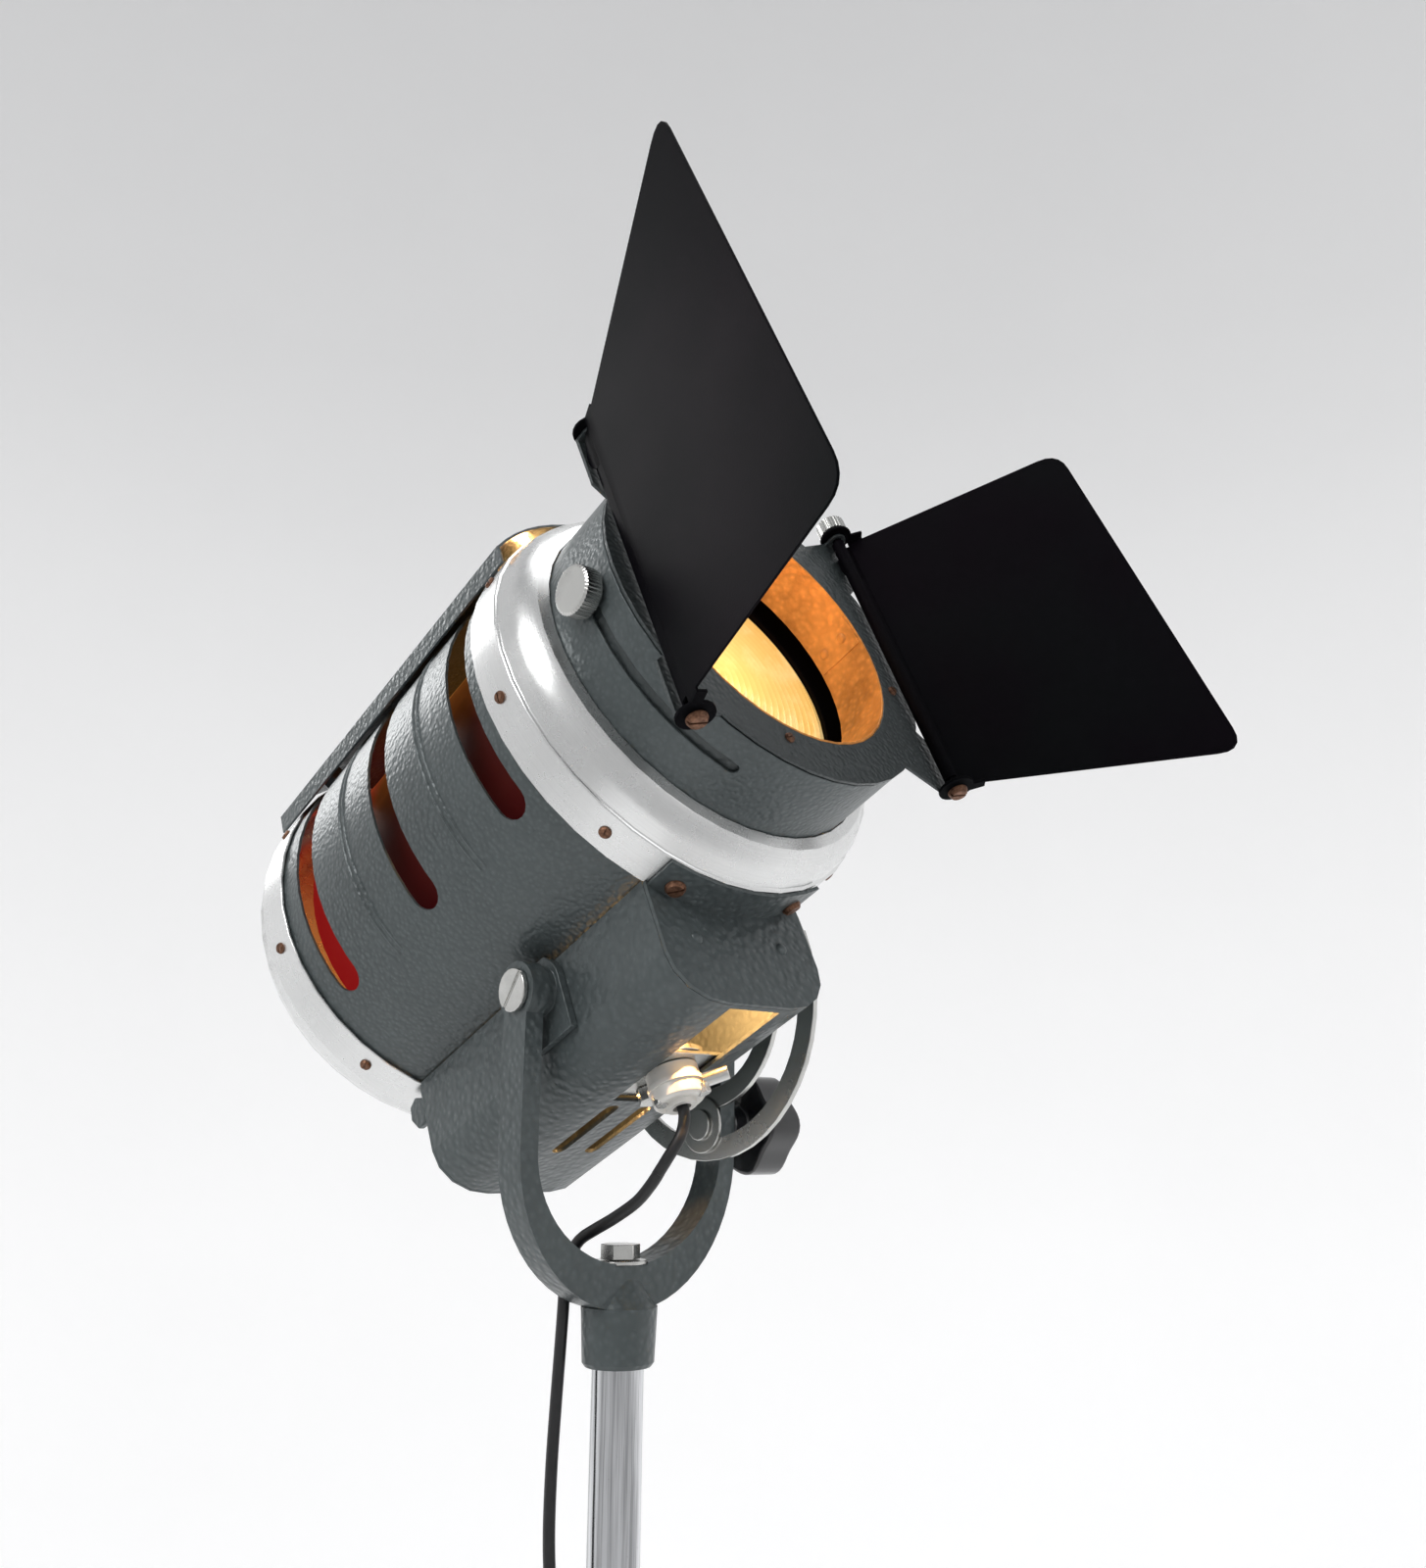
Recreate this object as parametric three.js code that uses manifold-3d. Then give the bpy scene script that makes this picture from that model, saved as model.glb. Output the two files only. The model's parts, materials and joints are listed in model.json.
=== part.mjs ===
// A vintage fresnel spotlight: drum head with barn doors, fork yoke and the top of its stand tube.
// Millimetres, +Z up. The origin is the middle of the stand tube's lower end face.
// The head is built level in its own frame (forward is -Y, the tilt axis is X) and then tipped up.
import * as THREE from "three";
import { mergeVertices } from "three/addons/utils/BufferGeometryUtils.js";
import Module from "manifold-3d";

const wasm = await Module();
wasm.setup();

// ---- driving dimensions -------------------------------------------------------------------------
const GAP = 0.3; // air between pieces that touch
const PAST = 1; // how far a cutting solid runs on past what it cuts
const RUN = 0.6; // air between pieces that slide or turn on each other

const TILT_HEIGHT = 400; // tilt axis above the tube's lower end
const TILT_UP = 25.8; // degrees that the head looks up at rest

const TUBE_RADIUS = 12.5;
const TUBE_WALL = 2;
const TUBE_END_WALL = 6;

const DRUM_RADIUS = 112.5;
const DRUM_CLEAR = 2.5; // drum's lowest line above the tilt axis
const DRUM_WALL = 1.5;
const DRUM_BACK = -117.5; // where the rear cap's band begins
const DRUM_FRONT = 82; // where the bezel's band begins
const DRUM_OVERLAP = 11; // how far the drum runs on under each band
const SLOT_WIDTH = 18;
const SLOT_PLACES = [-94, -14, 64];
const SLOT_LOW = 56; // degrees round from the drum's lowest line
const SLOT_HIGH = 146;

const BAFFLE_INSET = 19.5;
const BAFFLE_WALL = 1;
const BAFFLE_RUN = 5; // how far it runs on past each end of the drum

const CAP_WALL = 1.6;
const CAP_BAND_OVER = 2.3; // how far the band stands out of the drum
const CAP_BAND_DEPTH = 22;
const CAP_DEPTH = 48;
const CAP_STEP = 2;
const CAP_DOME_INSET = 18.5;
const CAP_CROWN = 2.5;

const BEZEL_WALL = 1.6;
const BEZEL_BAND_OVER = 2.5;
const BEZEL_BAND_DEPTH = 21;
const BEZEL_STEP = 1.5;
const BEZEL_DEPTH = 43;

const NOSE_INSET = 14.9;
const NOSE_WALL = 1.5;
const NOSE_LENGTH = 55;
const NOSE_BACK = 112;
const NOSE_FLANGE_WALL = 3;
const NOSE_SLOT_BEHIND = 17; // slot's middle behind the front edge
const NOSE_SLOT_WIDTH = 5.6;
const NOSE_SLOT_LOW = 25;
const NOSE_SLOT_HIGH = 93;

const LENS_INSET = 22.6; // lens edge inside the nose ring
const LENS_SEAT = 1.6;
const LENS_AHEAD = 6; // lens back in front of the nose ring's flange
const LENS_EDGE = 8;
const LENS_STEPS = 3;
const LENS_STEP_RISE = 4.5;
const LENS_RING_DEPTH = 3;

const HOOD_OVER = 10.5;
const HOOD_WALL = 1.5;
const HOOD_HALF_ANGLE = 51; // degrees each side of the top
const HOOD_SKIRT = 11;
const HOOD_BACK = -138;
const HOOD_FRONT = 101;
const HOOD_STAY_WIDTH = 10;
const HOOD_STAY_LENGTH = 9;
const HOOD_STAY_ANGLE = 40;
const HOOD_STAY_PLACES = [-112, 70];

const BOX_HALF = 49;
const BOX_WALL = 1.8;
const BOX_DEPTH = 50; // floor below the tilt axis
const BOX_CREASE = 26; // where the side walls turn in
const BOX_FLOOR_HALF = 20;
const BOX_END_WALL = 2;
const BOX_LIP_ANGLE = 24.5;
const BOX_LIP_REACH = 21;
const BOX_LIP_WALL = 1.8;
const REAR_CATCH_WALL = 4;
const REAR_CATCH_OUTLINE = [[0, -18.5], [0, -4.5], [6, -1.5], [12, -4.5], [13, -11.5], [8, -18.5]];

const FOCUS_SLOT_HALF = 16;
const FOCUS_SLOT_BACK = -12;
const FOCUS_SLOT_FRONT = 79;
const BOX_VENT_BACK = -70;
const BOX_VENT_FRONT = -17;
const BOX_VENT_HALF = 4;
const BOX_VENT_AT = 10.5;

const SOCKET_AT = 16;
const SOCKET_RADIUS = 13;
const SOCKET_DROP = 15; // how far the socket hangs below the box floor
const CORD_RADIUS = 2.9;
const CORD_MOUTH_RADIUS = 4.2;
const CORD_MOUTH_DEPTH = 6;
const CARRIAGE_OVER = 2; // how far it laps past the floor's flat, each side
const CARRIAGE_WALL = 2;
const CARRIAGE_BACK = -11;
const CARRIAGE_FRONT = 33;
const POST_RADIUS = 12;
const POST_FLANGE = 6;
const POST_FLANGE_WALL = 3;
const POST_TOP = 22;
const LAMP_WAY_SIDE = 10; // room beside the post in the drum's lower opening
const LAMP_WAY_BACK = 18; // how far that opening runs back past the focus slot
const LAMP_WAY_TOP = 60;
const HOLDER_RADIUS = 20;
const HOLDER_TOP = 52;
const HOLDER_FOOT_RADIUS = 15;
const HOLDER_FLARE = 6;
const HOLDER_WALL = 4;
const HOLDER_FLOOR = 12;
const BULB_RADIUS = 29;
const BULB_NECK_PLAY = 3;
const BULB_NECK_RISE = 8; // straight neck above the holder
const BULB_SHOULDER = -52; // degrees where the globe starts
const BULB_RISE = 31; // top of the globe above the optical axis
const REFLECTOR_RADIUS = 44;
const REFLECTOR_SAG = 17;
const REFLECTOR_WALL = 1.2;
const REFLECTOR_GAP = 7;
const BRACKET_HALF = 6;
const BRACKET_WALL = 2;
const BRACKET_ARM_WALL = 3;
const BRACKET_FLOOR = -20;
const BRACKET_RISE = 12; // above the optical axis
const BRACKET_POST_DROP = 8; // below the top of the lamp post
const FOCUS_NUT_ACROSS = 11;
const FOCUS_NUT_DEPTH = 7;
const CORD_CLAMP_RADIUS = 3.6;
const CORD_CLAMP_LENGTH = 13;
const CORD_CLAMP_TURN = -50;
const CORD_CLAMP_DROP = 8;

const LUG_WALL = 4;
const LUG_RADIUS = 15;
const LUG_PEAK = 22;
const LUG_SHOULDER = 2;
const RIGHT_LUG_WALL = 2;
const BOSS_RADIUS = 12.5;
const PIVOT_RADIUS = 6;
const PIVOT_HEAD_RADIUS = 10.5;
const PIVOT_HEAD_DEPTH = 2.5;
const PIVOT_SLOT_HALF = 1;
const PIVOT_SLOT_DEPTH = 1.2;
const PIVOT_SLOT_TURN = 35;

const QUADRANT_INNER = 43;
const QUADRANT_OUTER = 79.5;
const QUADRANT_SLOT_INNER = 53.5;
const QUADRANT_SLOT_OUTER = 68.5;
const QUADRANT_WALL = 3;
const QUADRANT_PLAY = 1;
const QUADRANT_SLOT_START = 15;
const QUADRANT_BAR_HALF = 9;
const SPACER_RADIUS = 5;
const SPACER_AT = 34;

const YOKE_CLEAR = 9; // room between the box and each arm
const YOKE_WALL = 10;
const YOKE_HALF_WIDTH = 9;
const YOKE_EYE_RADIUS = 14;
const YOKE_BEND_RISE = 6.5; // the arms start to bend this far above the quadrant's lowest edge
const YOKE_BEND_DEPTH = 54;
const YOKE_BOTTOM_WALL = 21;
const YOKE_SOCKET_RADIUS = 18.6;
const YOKE_SOCKET_LIP_RADIUS = 17.4;
const YOKE_SOCKET_DEPTH = 27;
const CLAMP_BOLT_RADIUS = 4.6;
const CLAMP_WASHER_RADIUS = 14.5;
const CLAMP_WASHER_WALL = 1.7;
const CLAMP_HEAD_RADIUS = 8;
const CLAMP_HEAD_DEPTH = 1.6;
const KNOB_STAND_OFF = 11;
const KNOB_HUB_RADIUS = 9;
const KNOB_RADIUS = 26.5;
const KNOB_LOBES = 5;
const KNOB_LOBE_DEPTH = 3.4;
const KNOB_DEPTH = 22;
const KNOB_LOBE_STEPS = 10;
const KNOB_BORE_FLOOR = 6;

const PAN_BOLT_RADIUS = 5;
const PAN_HEAD_ACROSS = 17;
const PAN_HEAD_DEPTH = 7;
const PAN_WASHER_RADIUS = 13;
const PAN_WASHER_WALL = 1.8;
const PLUG_DEPTH = 30;

const DOOR_PLATE_AHEAD = 1; // in front of the nose ring's edge
const DOOR_PLATE_WALL = 1.6;
const DOOR_PLATE_OVER = 0.4;
const DOOR_SLEEVE_WALL = 1.5;
const DOOR_SLEEVE_LENGTH = 27;
const COLLAR_WALL = 1;
const COLLAR_LENGTH = 29;
const RING_KNOB_RADIUS = 12;
const RING_KNOB_LENGTH = 10;
const RING_KNOB_SHANK = 2.4;
const RING_KNOB_ANGLE = 89;

const HINGE_INSET = 10.6; // hinge axis inside the nose ring's radius
const HINGE_AHEAD = 7; // hinge axis in front of the door plate
const HINGE_END_INSET = 10.6;
const HINGE_ROD_RADIUS = 2.6;
const HINGE_TAB_WALL = 1.6;
const HINGE_TAB_RADIUS = 5;
const HINGE_WEB_REACH = 32; // how far the corner runs in along its outer edge
const HINGE_WEB_DROP = 12;
const HINGE_WEB_NECK = 8;
const HINGE_WEB_FOOT = 42;
const HINGE_WEB_SIDE = 30;
const HINGE_SCREW_RADIUS = 5;
const HINGE_SCREW_DEPTH = 3;
const HINGE_NUT_RADIUS = 8;
const HINGE_NUT_DEPTH = 9;
const LEAF_WALL = 1.2;
const LEAF_INNER_INSET = 2.5; // near edge shorter than the hinge at each end
const LEAF_FLARE = 26.5; // far edge longer than the near edge at each end
const LEAF_REACH = 146;
const LEAF_CORNER = 14;
const LEAF_START = 6.4; // hinge axis to the plate's near edge
const LEAF_OFFSET = 3.8; // plate behind the hinge axis
const LEAF_EAR_WALL = 1.5;
const LEAF_EAR_RADIUS = 9;
const LEFT_LEAF_OPEN = 69.5; // degrees forward from the plane of the door plate
const RIGHT_LEAF_OPEN = 43.5;

const COIL_RADIUS = 35;
const COIL_STAND_OFF = 4; // between the tube and the coil
const COIL_SECTION = 11;
const COIL_DROP = 326; // coil centre below the tilt axis
const PLANNED_COIL_OUT = 27.5; // coil's middle from the tube's, as the drop below is written
const PLUG_NECK_RADIUS = 6;
const PLUG_PIN_RADIUS = 2;
const PLUG_PIN_LENGTH = 19;
const PLUG_PIN_OUT = 9.5;
const PLUG_NECK_LENGTH = 12;
const PLUG_LENGTH = 36;
const PLUG_HALF_DEPTH = 6.5;
const PLUG_OUTLINE = [[-8, -9], [8, -9], [17, -21], [17, -36], [-17, -36], [-17, -21]]; // x, height
const END_ARC_RADIUS = 42;
const END_BESIDE = 1.5; // how far the end runs inside the coil's outer face
const STRAP_WALL = 1.5;
const STRAP_HEIGHT = 12;

// ---- worked out from them -----------------------------------------------------------------------
const tilt = THREE.MathUtils.degToRad(TILT_UP);
const AXIS_RISE = DRUM_RADIUS + DRUM_CLEAR; // optical axis above the tilt axis
const BAFFLE_RADIUS = DRUM_RADIUS - BAFFLE_INSET;
const CAP_BAND_RADIUS = DRUM_RADIUS + CAP_BAND_OVER;
const CAP_DOME_RADIUS = DRUM_RADIUS - CAP_DOME_INSET;
const BEZEL_BAND_RADIUS = DRUM_RADIUS + BEZEL_BAND_OVER;
const HOOD_RADIUS = DRUM_RADIUS + HOOD_OVER;
const NOSE_RADIUS = DRUM_RADIUS - NOSE_INSET;
const LENS_RADIUS = NOSE_RADIUS - LENS_INSET;
const LENS_VIEW_RADIUS = LENS_RADIUS - LENS_SEAT;
const DOOR_PLATE_RADIUS = NOSE_RADIUS + DOOR_PLATE_OVER;
const DOOR_OPENING_RADIUS = LENS_RADIUS + RUN;
const HINGE_OUT = NOSE_RADIUS - HINGE_INSET;
const HINGE_HALF = NOSE_RADIUS - HINGE_END_INSET;
const LEAF_INNER_HALF = HINGE_HALF - LEAF_INNER_INSET;
const LEAF_OUTER_HALF = LEAF_INNER_HALF + LEAF_FLARE;
const BULB_TOP = AXIS_RISE + BULB_RISE;
const BULB_NECK_RADIUS = HOLDER_RADIUS - HOLDER_WALL - BULB_NECK_PLAY;
const CARRIAGE_HALF = BOX_FLOOR_HALF + CARRIAGE_OVER;
const NOSE_FRONT = NOSE_BACK + NOSE_LENGTH;
const NOSE_SLOT_AT = NOSE_FRONT - NOSE_SLOT_BEHIND;
const LENS_BACK = NOSE_BACK + LENS_AHEAD;
const DOOR_PLATE_AT = NOSE_FRONT + DOOR_PLATE_AHEAD;
const DOOR_SLEEVE_BACK = DOOR_PLATE_AT - DOOR_SLEEVE_LENGTH;
const COLLAR_BACK = DOOR_PLATE_AT - COLLAR_LENGTH;
const YOKE_INNER = BOX_HALF + YOKE_CLEAR;
const YOKE_BEND_DROP = QUADRANT_OUTER - YOKE_BEND_RISE;
const boxFloor = -BOX_DEPTH;
const boxBack = DRUM_BACK;
const boxFront = DRUM_FRONT - GAP;
const yokeOuter = YOKE_INNER + YOKE_WALL;
const yokeFloorDrop = YOKE_BEND_DROP + YOKE_BEND_DEPTH;
const socketTopDrop = yokeFloorDrop + YOKE_BOTTOM_WALL - 2;
const yokeBottomDrop = socketTopDrop + YOKE_SOCKET_DEPTH;
const tubeTopDrop = yokeFloorDrop + YOKE_BOTTOM_WALL - 5;
const quadrantOut = YOKE_INNER - QUADRANT_PLAY;
const quadrantIn = quadrantOut - QUADRANT_WALL;
const slotMiddle = (QUADRANT_SLOT_INNER + QUADRANT_SLOT_OUTER) / 2;
const knobIn = yokeOuter + KNOB_STAND_OFF;
const hingeForward = DOOR_PLATE_AT + HINGE_AHEAD;
const coilOut = TUBE_RADIUS + COIL_STAND_OFF + COIL_SECTION;

// ---- solids -------------------------------------------------------------------------------------
const rad = THREE.MathUtils.degToRad;

function solid(geometry) {
  const bare = geometry.clone();
  bare.deleteAttribute("normal");
  bare.deleteAttribute("uv");
  const merged = mergeVertices(bare, 1e-4);
  return new wasm.Manifold(
    new wasm.Mesh({
      numProp: 3,
      vertProperties: merged.attributes.position.array,
      triVerts: new Uint32Array(merged.index.array),
    }),
  );
}

function fromSolid(made) {
  const mesh = made.getMesh();
  const geometry = new THREE.BufferGeometry();
  const points = new Float32Array(mesh.vertProperties);
  geometry.setAttribute("position", new THREE.BufferAttribute(points, 3));
  geometry.setIndex(new THREE.BufferAttribute(new Uint32Array(mesh.triVerts), 1));
  return geometry;
}

function join(first, ...others) {
  return fromSolid(others.reduce((sum, g) => sum.add(solid(g)), solid(first)));
}

function cut(base, ...tools) {
  return fromSolid(tools.reduce((rest, g) => rest.subtract(solid(g)), solid(base)));
}

// A closed profile of [radius, forward] pairs turned about the forward axis through height `rise`.
function turned(profile, rise, sides = 40) {
  const points = profile.map(([r, forward]) => new THREE.Vector2(r, -forward));
  if (THREE.ShapeUtils.area(points) < 0) points.reverse();
  points.push(points[0].clone());
  return new THREE.LatheGeometry(points, sides).translate(0, 0, rise);
}

// A closed profile of [radius, height] pairs turned about the vertical line through (x, y).
function turnedUpright(profile, x, y, sides = 24) {
  const points = profile.map(([r, height]) => new THREE.Vector2(r, height));
  if (THREE.ShapeUtils.area(points) < 0) points.reverse();
  points.push(points[0].clone());
  return new THREE.LatheGeometry(points, sides).rotateX(Math.PI / 2).translate(x, y, 0);
}

function barX(radius, x0, x1, y = 0, z = 0, sides = 20) {
  const bar = new THREE.CylinderGeometry(radius, radius, Math.abs(x1 - x0), sides);
  return bar.rotateZ(Math.PI / 2).translate((x0 + x1) / 2, y, z);
}

function barZ(radius, z0, z1, x = 0, y = 0, sides = 20) {
  const bar = new THREE.CylinderGeometry(radius, radius, Math.abs(z1 - z0), sides);
  return bar.rotateX(Math.PI / 2).translate(x, y, (z0 + z1) / 2);
}

function block(x0, x1, y0, y1, z0, z1) {
  const box = new THREE.BoxGeometry(x1 - x0, y1 - y0, z1 - z0);
  return box.translate((x0 + x1) / 2, (y0 + y1) / 2, (z0 + z1) / 2);
}

// An outline in x and height, pushed along the forward axis from `back` to `front`.
function pushedForward(shape, back, front, curveSegments = 12) {
  const options = { depth: front - back, bevelEnabled: false, curveSegments };
  return new THREE.ExtrudeGeometry(shape, options).rotateX(Math.PI / 2).translate(0, -back, 0);
}

// An outline in forward and height, pushed along +X from x0 to x1.
function pushedSideways(shape, x0, x1, curveSegments = 24) {
  const options = { depth: x1 - x0, bevelEnabled: false, curveSegments };
  const pushed = new THREE.ExtrudeGeometry(shape, options);
  return pushed.rotateX(Math.PI / 2).rotateZ(-Math.PI / 2).translate(x1, 0, 0);
}

function outline(pairs) {
  return new THREE.Shape(pairs.map(([x, y]) => new THREE.Vector2(x, y)));
}

// A place on a drum: `angle` degrees round from the lowest line towards the left side (-X).
function onDrum(radius, angle, rise = AXIS_RISE) {
  return [-radius * Math.sin(rad(angle)), rise - radius * Math.cos(rad(angle))];
}

// A wedge-shaped ring sector between two radii and two angles.
function sector(inner, outer, from, to, steps = 8) {
  const pairs = [];
  for (let i = 0; i <= steps; i++) pairs.push(onDrum(outer, from + ((to - from) * i) / steps));
  for (let i = steps; i >= 0; i--) pairs.push(onDrum(inner, from + ((to - from) * i) / steps));
  return outline(pairs);
}

function tube(points, radius, steps, sides = 8) {
  const path = new THREE.CatmullRomCurve3(points.map((p) => new THREE.Vector3(...p)));
  const ring = [];
  for (let i = 0; i < sides; i++) {
    const turn = (2 * Math.PI * i) / sides;
    ring.push([radius * Math.cos(turn), radius * Math.sin(turn)]);
  }
  return new THREE.ExtrudeGeometry(outline(ring), { steps, extrudePath: path });
}

// ---- materials ----------------------------------------------------------------------------------
function finish(color, roughness, metalness) {
  return new THREE.MeshStandardMaterial({ color, roughness, metalness });
}

const hammeredGrey = finish(0x4a5154, 0.5, 0.4);
const spunAluminium = finish(0xc9cccd, 0.3, 0.9);
const doorBlack = finish(0x141317, 0.6, 0.2);
const brightSteel = finish(0xb4b5b3, 0.3, 1);
const chrome = finish(0xd8dadd, 0.08, 1);
const bakelite = finish(0x0b0b0d, 0.15, 0);
const blackRubber = finish(0x0d0d0e, 0.6, 0);
const rustyBrass = finish(0x8a6a4a, 0.5, 0.8);
const paleGlass = finish(0xfff0b8, 0.1, 0);
const heatedSteel = finish(0x6b3a26, 0.5, 0.7);
const ceramic = finish(0xe4e1da, 0.4, 0.1);

function piece(name, geometry, material) {
  const mesh = new THREE.Mesh(geometry, material);
  mesh.name = name;
  return mesh;
}

// ---- drum and its two ends ----------------------------------------------------------------------
// What cuts one round-ended slot along a drum's wall, between two angles.
function slotCutters(radius, wall, middle, width, from, to) {
  const [inner, outer] = [radius - wall - PAST, radius + PAST];
  const half = width / 2;
  const side = Math.sign(to);
  const endAngle = side * THREE.MathUtils.radToDeg(half / radius);
  const [first, last] = [from + endAngle, to - endAngle];
  const ends = [first, last].map((angle) =>
    barZ(half, inner, outer, 0, 0, 16).rotateY(rad(angle + 180)).translate(0, -middle, AXIS_RISE),
  );
  return [pushedForward(sector(inner, outer, first, last, 16), middle - half, middle + half), ...ends];
}

function ventCutters() {
  const sides = SLOT_PLACES.flatMap((middle) => [1, -1].map((side) => [middle, side]));
  return sides.flatMap(([middle, side]) =>
    slotCutters(DRUM_RADIUS, DRUM_WALL, middle, SLOT_WIDTH, side * SLOT_LOW, side * SLOT_HIGH),
  );
}

// The opening under the drum and the baffle through which the lamp post slides.
function lampWay() {
  const half = POST_RADIUS + LAMP_WAY_SIDE;
  return block(-half, half, -FOCUS_SLOT_FRONT, -(FOCUS_SLOT_BACK - LAMP_WAY_BACK), 0, LAMP_WAY_TOP);
}

function shell(radius, wall, back, front) {
  const profile = [[radius, back], [radius, front], [radius - wall, front], [radius - wall, back]];
  return turned(profile, AXIS_RISE, 56);
}

function drumShell() {
  const back = DRUM_BACK - DRUM_OVERLAP;
  const front = DRUM_FRONT + DRUM_OVERLAP;
  const body = shell(DRUM_RADIUS, DRUM_WALL, back, front);
  return cut(body, ...ventCutters(), lampWay());
}

function baffle() {
  const tube = shell(BAFFLE_RADIUS, BAFFLE_WALL, DRUM_BACK - BAFFLE_RUN, DRUM_FRONT + BAFFLE_RUN);
  return cut(tube, lampWay());
}

function roundedShoulder(bandRadius, bandEnd, endRadius, end, steps = 4) {
  const profile = [];
  for (let i = 0; i <= steps; i++) {
    const turn = (Math.PI / 2) * (i / steps);
    const radius = endRadius + (bandRadius - endRadius) * Math.cos(turn);
    profile.push([radius, bandEnd + (end - bandEnd) * Math.sin(turn)]);
  }
  return profile;
}

function rearCap() {
  const bandEnd = DRUM_BACK - CAP_BAND_DEPTH;
  const backEnd = DRUM_BACK - CAP_DEPTH;
  const domeStart = bandEnd - CAP_STEP / 2;
  const outer = [
    [CAP_BAND_RADIUS, DRUM_BACK],
    [CAP_BAND_RADIUS, bandEnd],
    ...roundedShoulder(CAP_BAND_RADIUS - CAP_STEP, domeStart, CAP_DOME_RADIUS, backEnd + CAP_CROWN),
    [0, backEnd],
  ];
  const inner = outer
    .map(([r, forward]) => [
      r === 0 ? 0 : r - CAP_WALL,
      forward === DRUM_BACK ? forward : forward + CAP_WALL,
    ])
    .reverse();
  return turned([...outer, ...inner], AXIS_RISE);
}

function frontBezel() {
  const back = DRUM_FRONT + GAP;
  const bandEnd = back + BEZEL_BAND_DEPTH;
  const front = DRUM_FRONT + BEZEL_DEPTH;
  const lip = NOSE_RADIUS + GAP;
  const outer = [
    [BEZEL_BAND_RADIUS, back],
    [BEZEL_BAND_RADIUS, bandEnd],
    ...roundedShoulder(BEZEL_BAND_RADIUS - BEZEL_STEP, bandEnd + BEZEL_STEP / 2, lip, front),
  ];
  const inner = outer
    .map(([r, forward], i) => [
      i === outer.length - 1 ? r : r - BEZEL_WALL,
      i === 0 ? forward : forward - BEZEL_WALL,
    ])
    .reverse();
  return turned([...outer, ...inner], AXIS_RISE);
}

// ---- nose, lens and hood ------------------------------------------------------------------------
function noseRing() {
  const flange = LENS_RADIUS + RUN;
  const inner = NOSE_RADIUS - NOSE_WALL;
  const profile = [
    [NOSE_RADIUS, NOSE_BACK],
    [NOSE_RADIUS, NOSE_FRONT],
    [inner, NOSE_FRONT],
    [inner, NOSE_BACK + NOSE_FLANGE_WALL],
    [flange, NOSE_BACK + NOSE_FLANGE_WALL],
    [flange, NOSE_BACK],
  ];
  const width = NOSE_SLOT_WIDTH;
  const slot = slotCutters(NOSE_RADIUS, NOSE_WALL, NOSE_SLOT_AT, width, NOSE_SLOT_LOW, NOSE_SLOT_HIGH);
  return cut(turned(profile, AXIS_RISE), ...slot);
}

function lens() {
  const face = LENS_BACK + LENS_EDGE;
  const profile = [[0, LENS_BACK], [LENS_RADIUS, LENS_BACK], [LENS_RADIUS, face]];
  const band = LENS_VIEW_RADIUS / LENS_STEPS;
  for (let i = 0; i < LENS_STEPS; i++) {
    const edge = LENS_VIEW_RADIUS - i * band;
    profile.push([edge, face], [Math.max(edge - band * 0.9, 0), face + LENS_STEP_RISE]);
  }
  if (profile.at(-1)[0] > 0) profile.push([0, face + LENS_STEP_RISE]);
  return turned(profile, AXIS_RISE);
}

function lensRing() {
  const back = LENS_BACK + LENS_EDGE + GAP;
  const outer = NOSE_RADIUS - NOSE_WALL - GAP;
  const inner = LENS_VIEW_RADIUS + GAP;
  const front = back + LENS_RING_DEPTH;
  return turned([[inner, back], [outer, back], [outer, front], [inner, front]], AXIS_RISE);
}

function hood() {
  const from = 180 - HOOD_HALF_ANGLE;
  const to = 180 + HOOD_HALF_ANGLE;
  const arch = sector(HOOD_RADIUS - HOOD_WALL, HOOD_RADIUS, from, to, 20);
  const roof = pushedForward(arch, HOOD_BACK, HOOD_FRONT);
  const [edgeX, edgeZ] = onDrum(HOOD_RADIUS, from);
  const skirt = (side) => {
    const x0 = side * Math.abs(edgeX);
    const x1 = side * (Math.abs(edgeX) - HOOD_WALL);
    const [low, high] = [Math.min(x0, x1), Math.max(x0, x1)];
    return block(low, high, -HOOD_FRONT, -HOOD_BACK, edgeZ - HOOD_SKIRT, edgeZ + 0.5);
  };
  return join(roof, skirt(-1), skirt(1));
}

function hoodStay(angle, back) {
  const inner = DRUM_RADIUS + GAP;
  const outer = HOOD_RADIUS - HOOD_WALL - GAP;
  const half = THREE.MathUtils.radToDeg(HOOD_STAY_WIDTH / 2 / inner);
  const shape = sector(inner, outer, angle - half, angle + half, 3);
  return pushedForward(shape, back, back + HOOD_STAY_LENGTH);
}

// ---- the box under the drum ---------------------------------------------------------------------
function boxWallTop(half) {
  return AXIS_RISE - Math.sqrt((DRUM_RADIUS + GAP) ** 2 - half ** 2) - GAP;
}

function boxOutline(inset) {
  const half = BOX_HALF - inset;
  const top = boxWallTop(BOX_HALF - BOX_WALL);
  const floor = boxFloor + inset;
  const right = [[half, top], [half, -BOX_CREASE]];
  const steps = 4;
  for (let i = 1; i <= steps; i++) {
    const turn = (Math.PI / 2) * (i / steps);
    const x = BOX_FLOOR_HALF + (half - BOX_FLOOR_HALF) * Math.cos(turn);
    right.push([x, -BOX_CREASE + (floor + BOX_CREASE) * Math.sin(turn)]);
  }
  return [...right, ...right.map(([x, z]) => [-x, z]).reverse()];
}

// What cuts one round-ended vent along the box floor.
function floorVent(x) {
  const [low, high] = [boxFloor - PAST, boxFloor + BOX_WALL + PAST];
  const ends = [BOX_VENT_BACK + BOX_VENT_HALF, BOX_VENT_FRONT - BOX_VENT_HALF];
  const middle = block(x - BOX_VENT_HALF, x + BOX_VENT_HALF, -ends[1], -ends[0], low, high);
  return [middle, ...ends.map((forward) => barZ(BOX_VENT_HALF, low, high, x, -forward, 12))];
}

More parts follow.
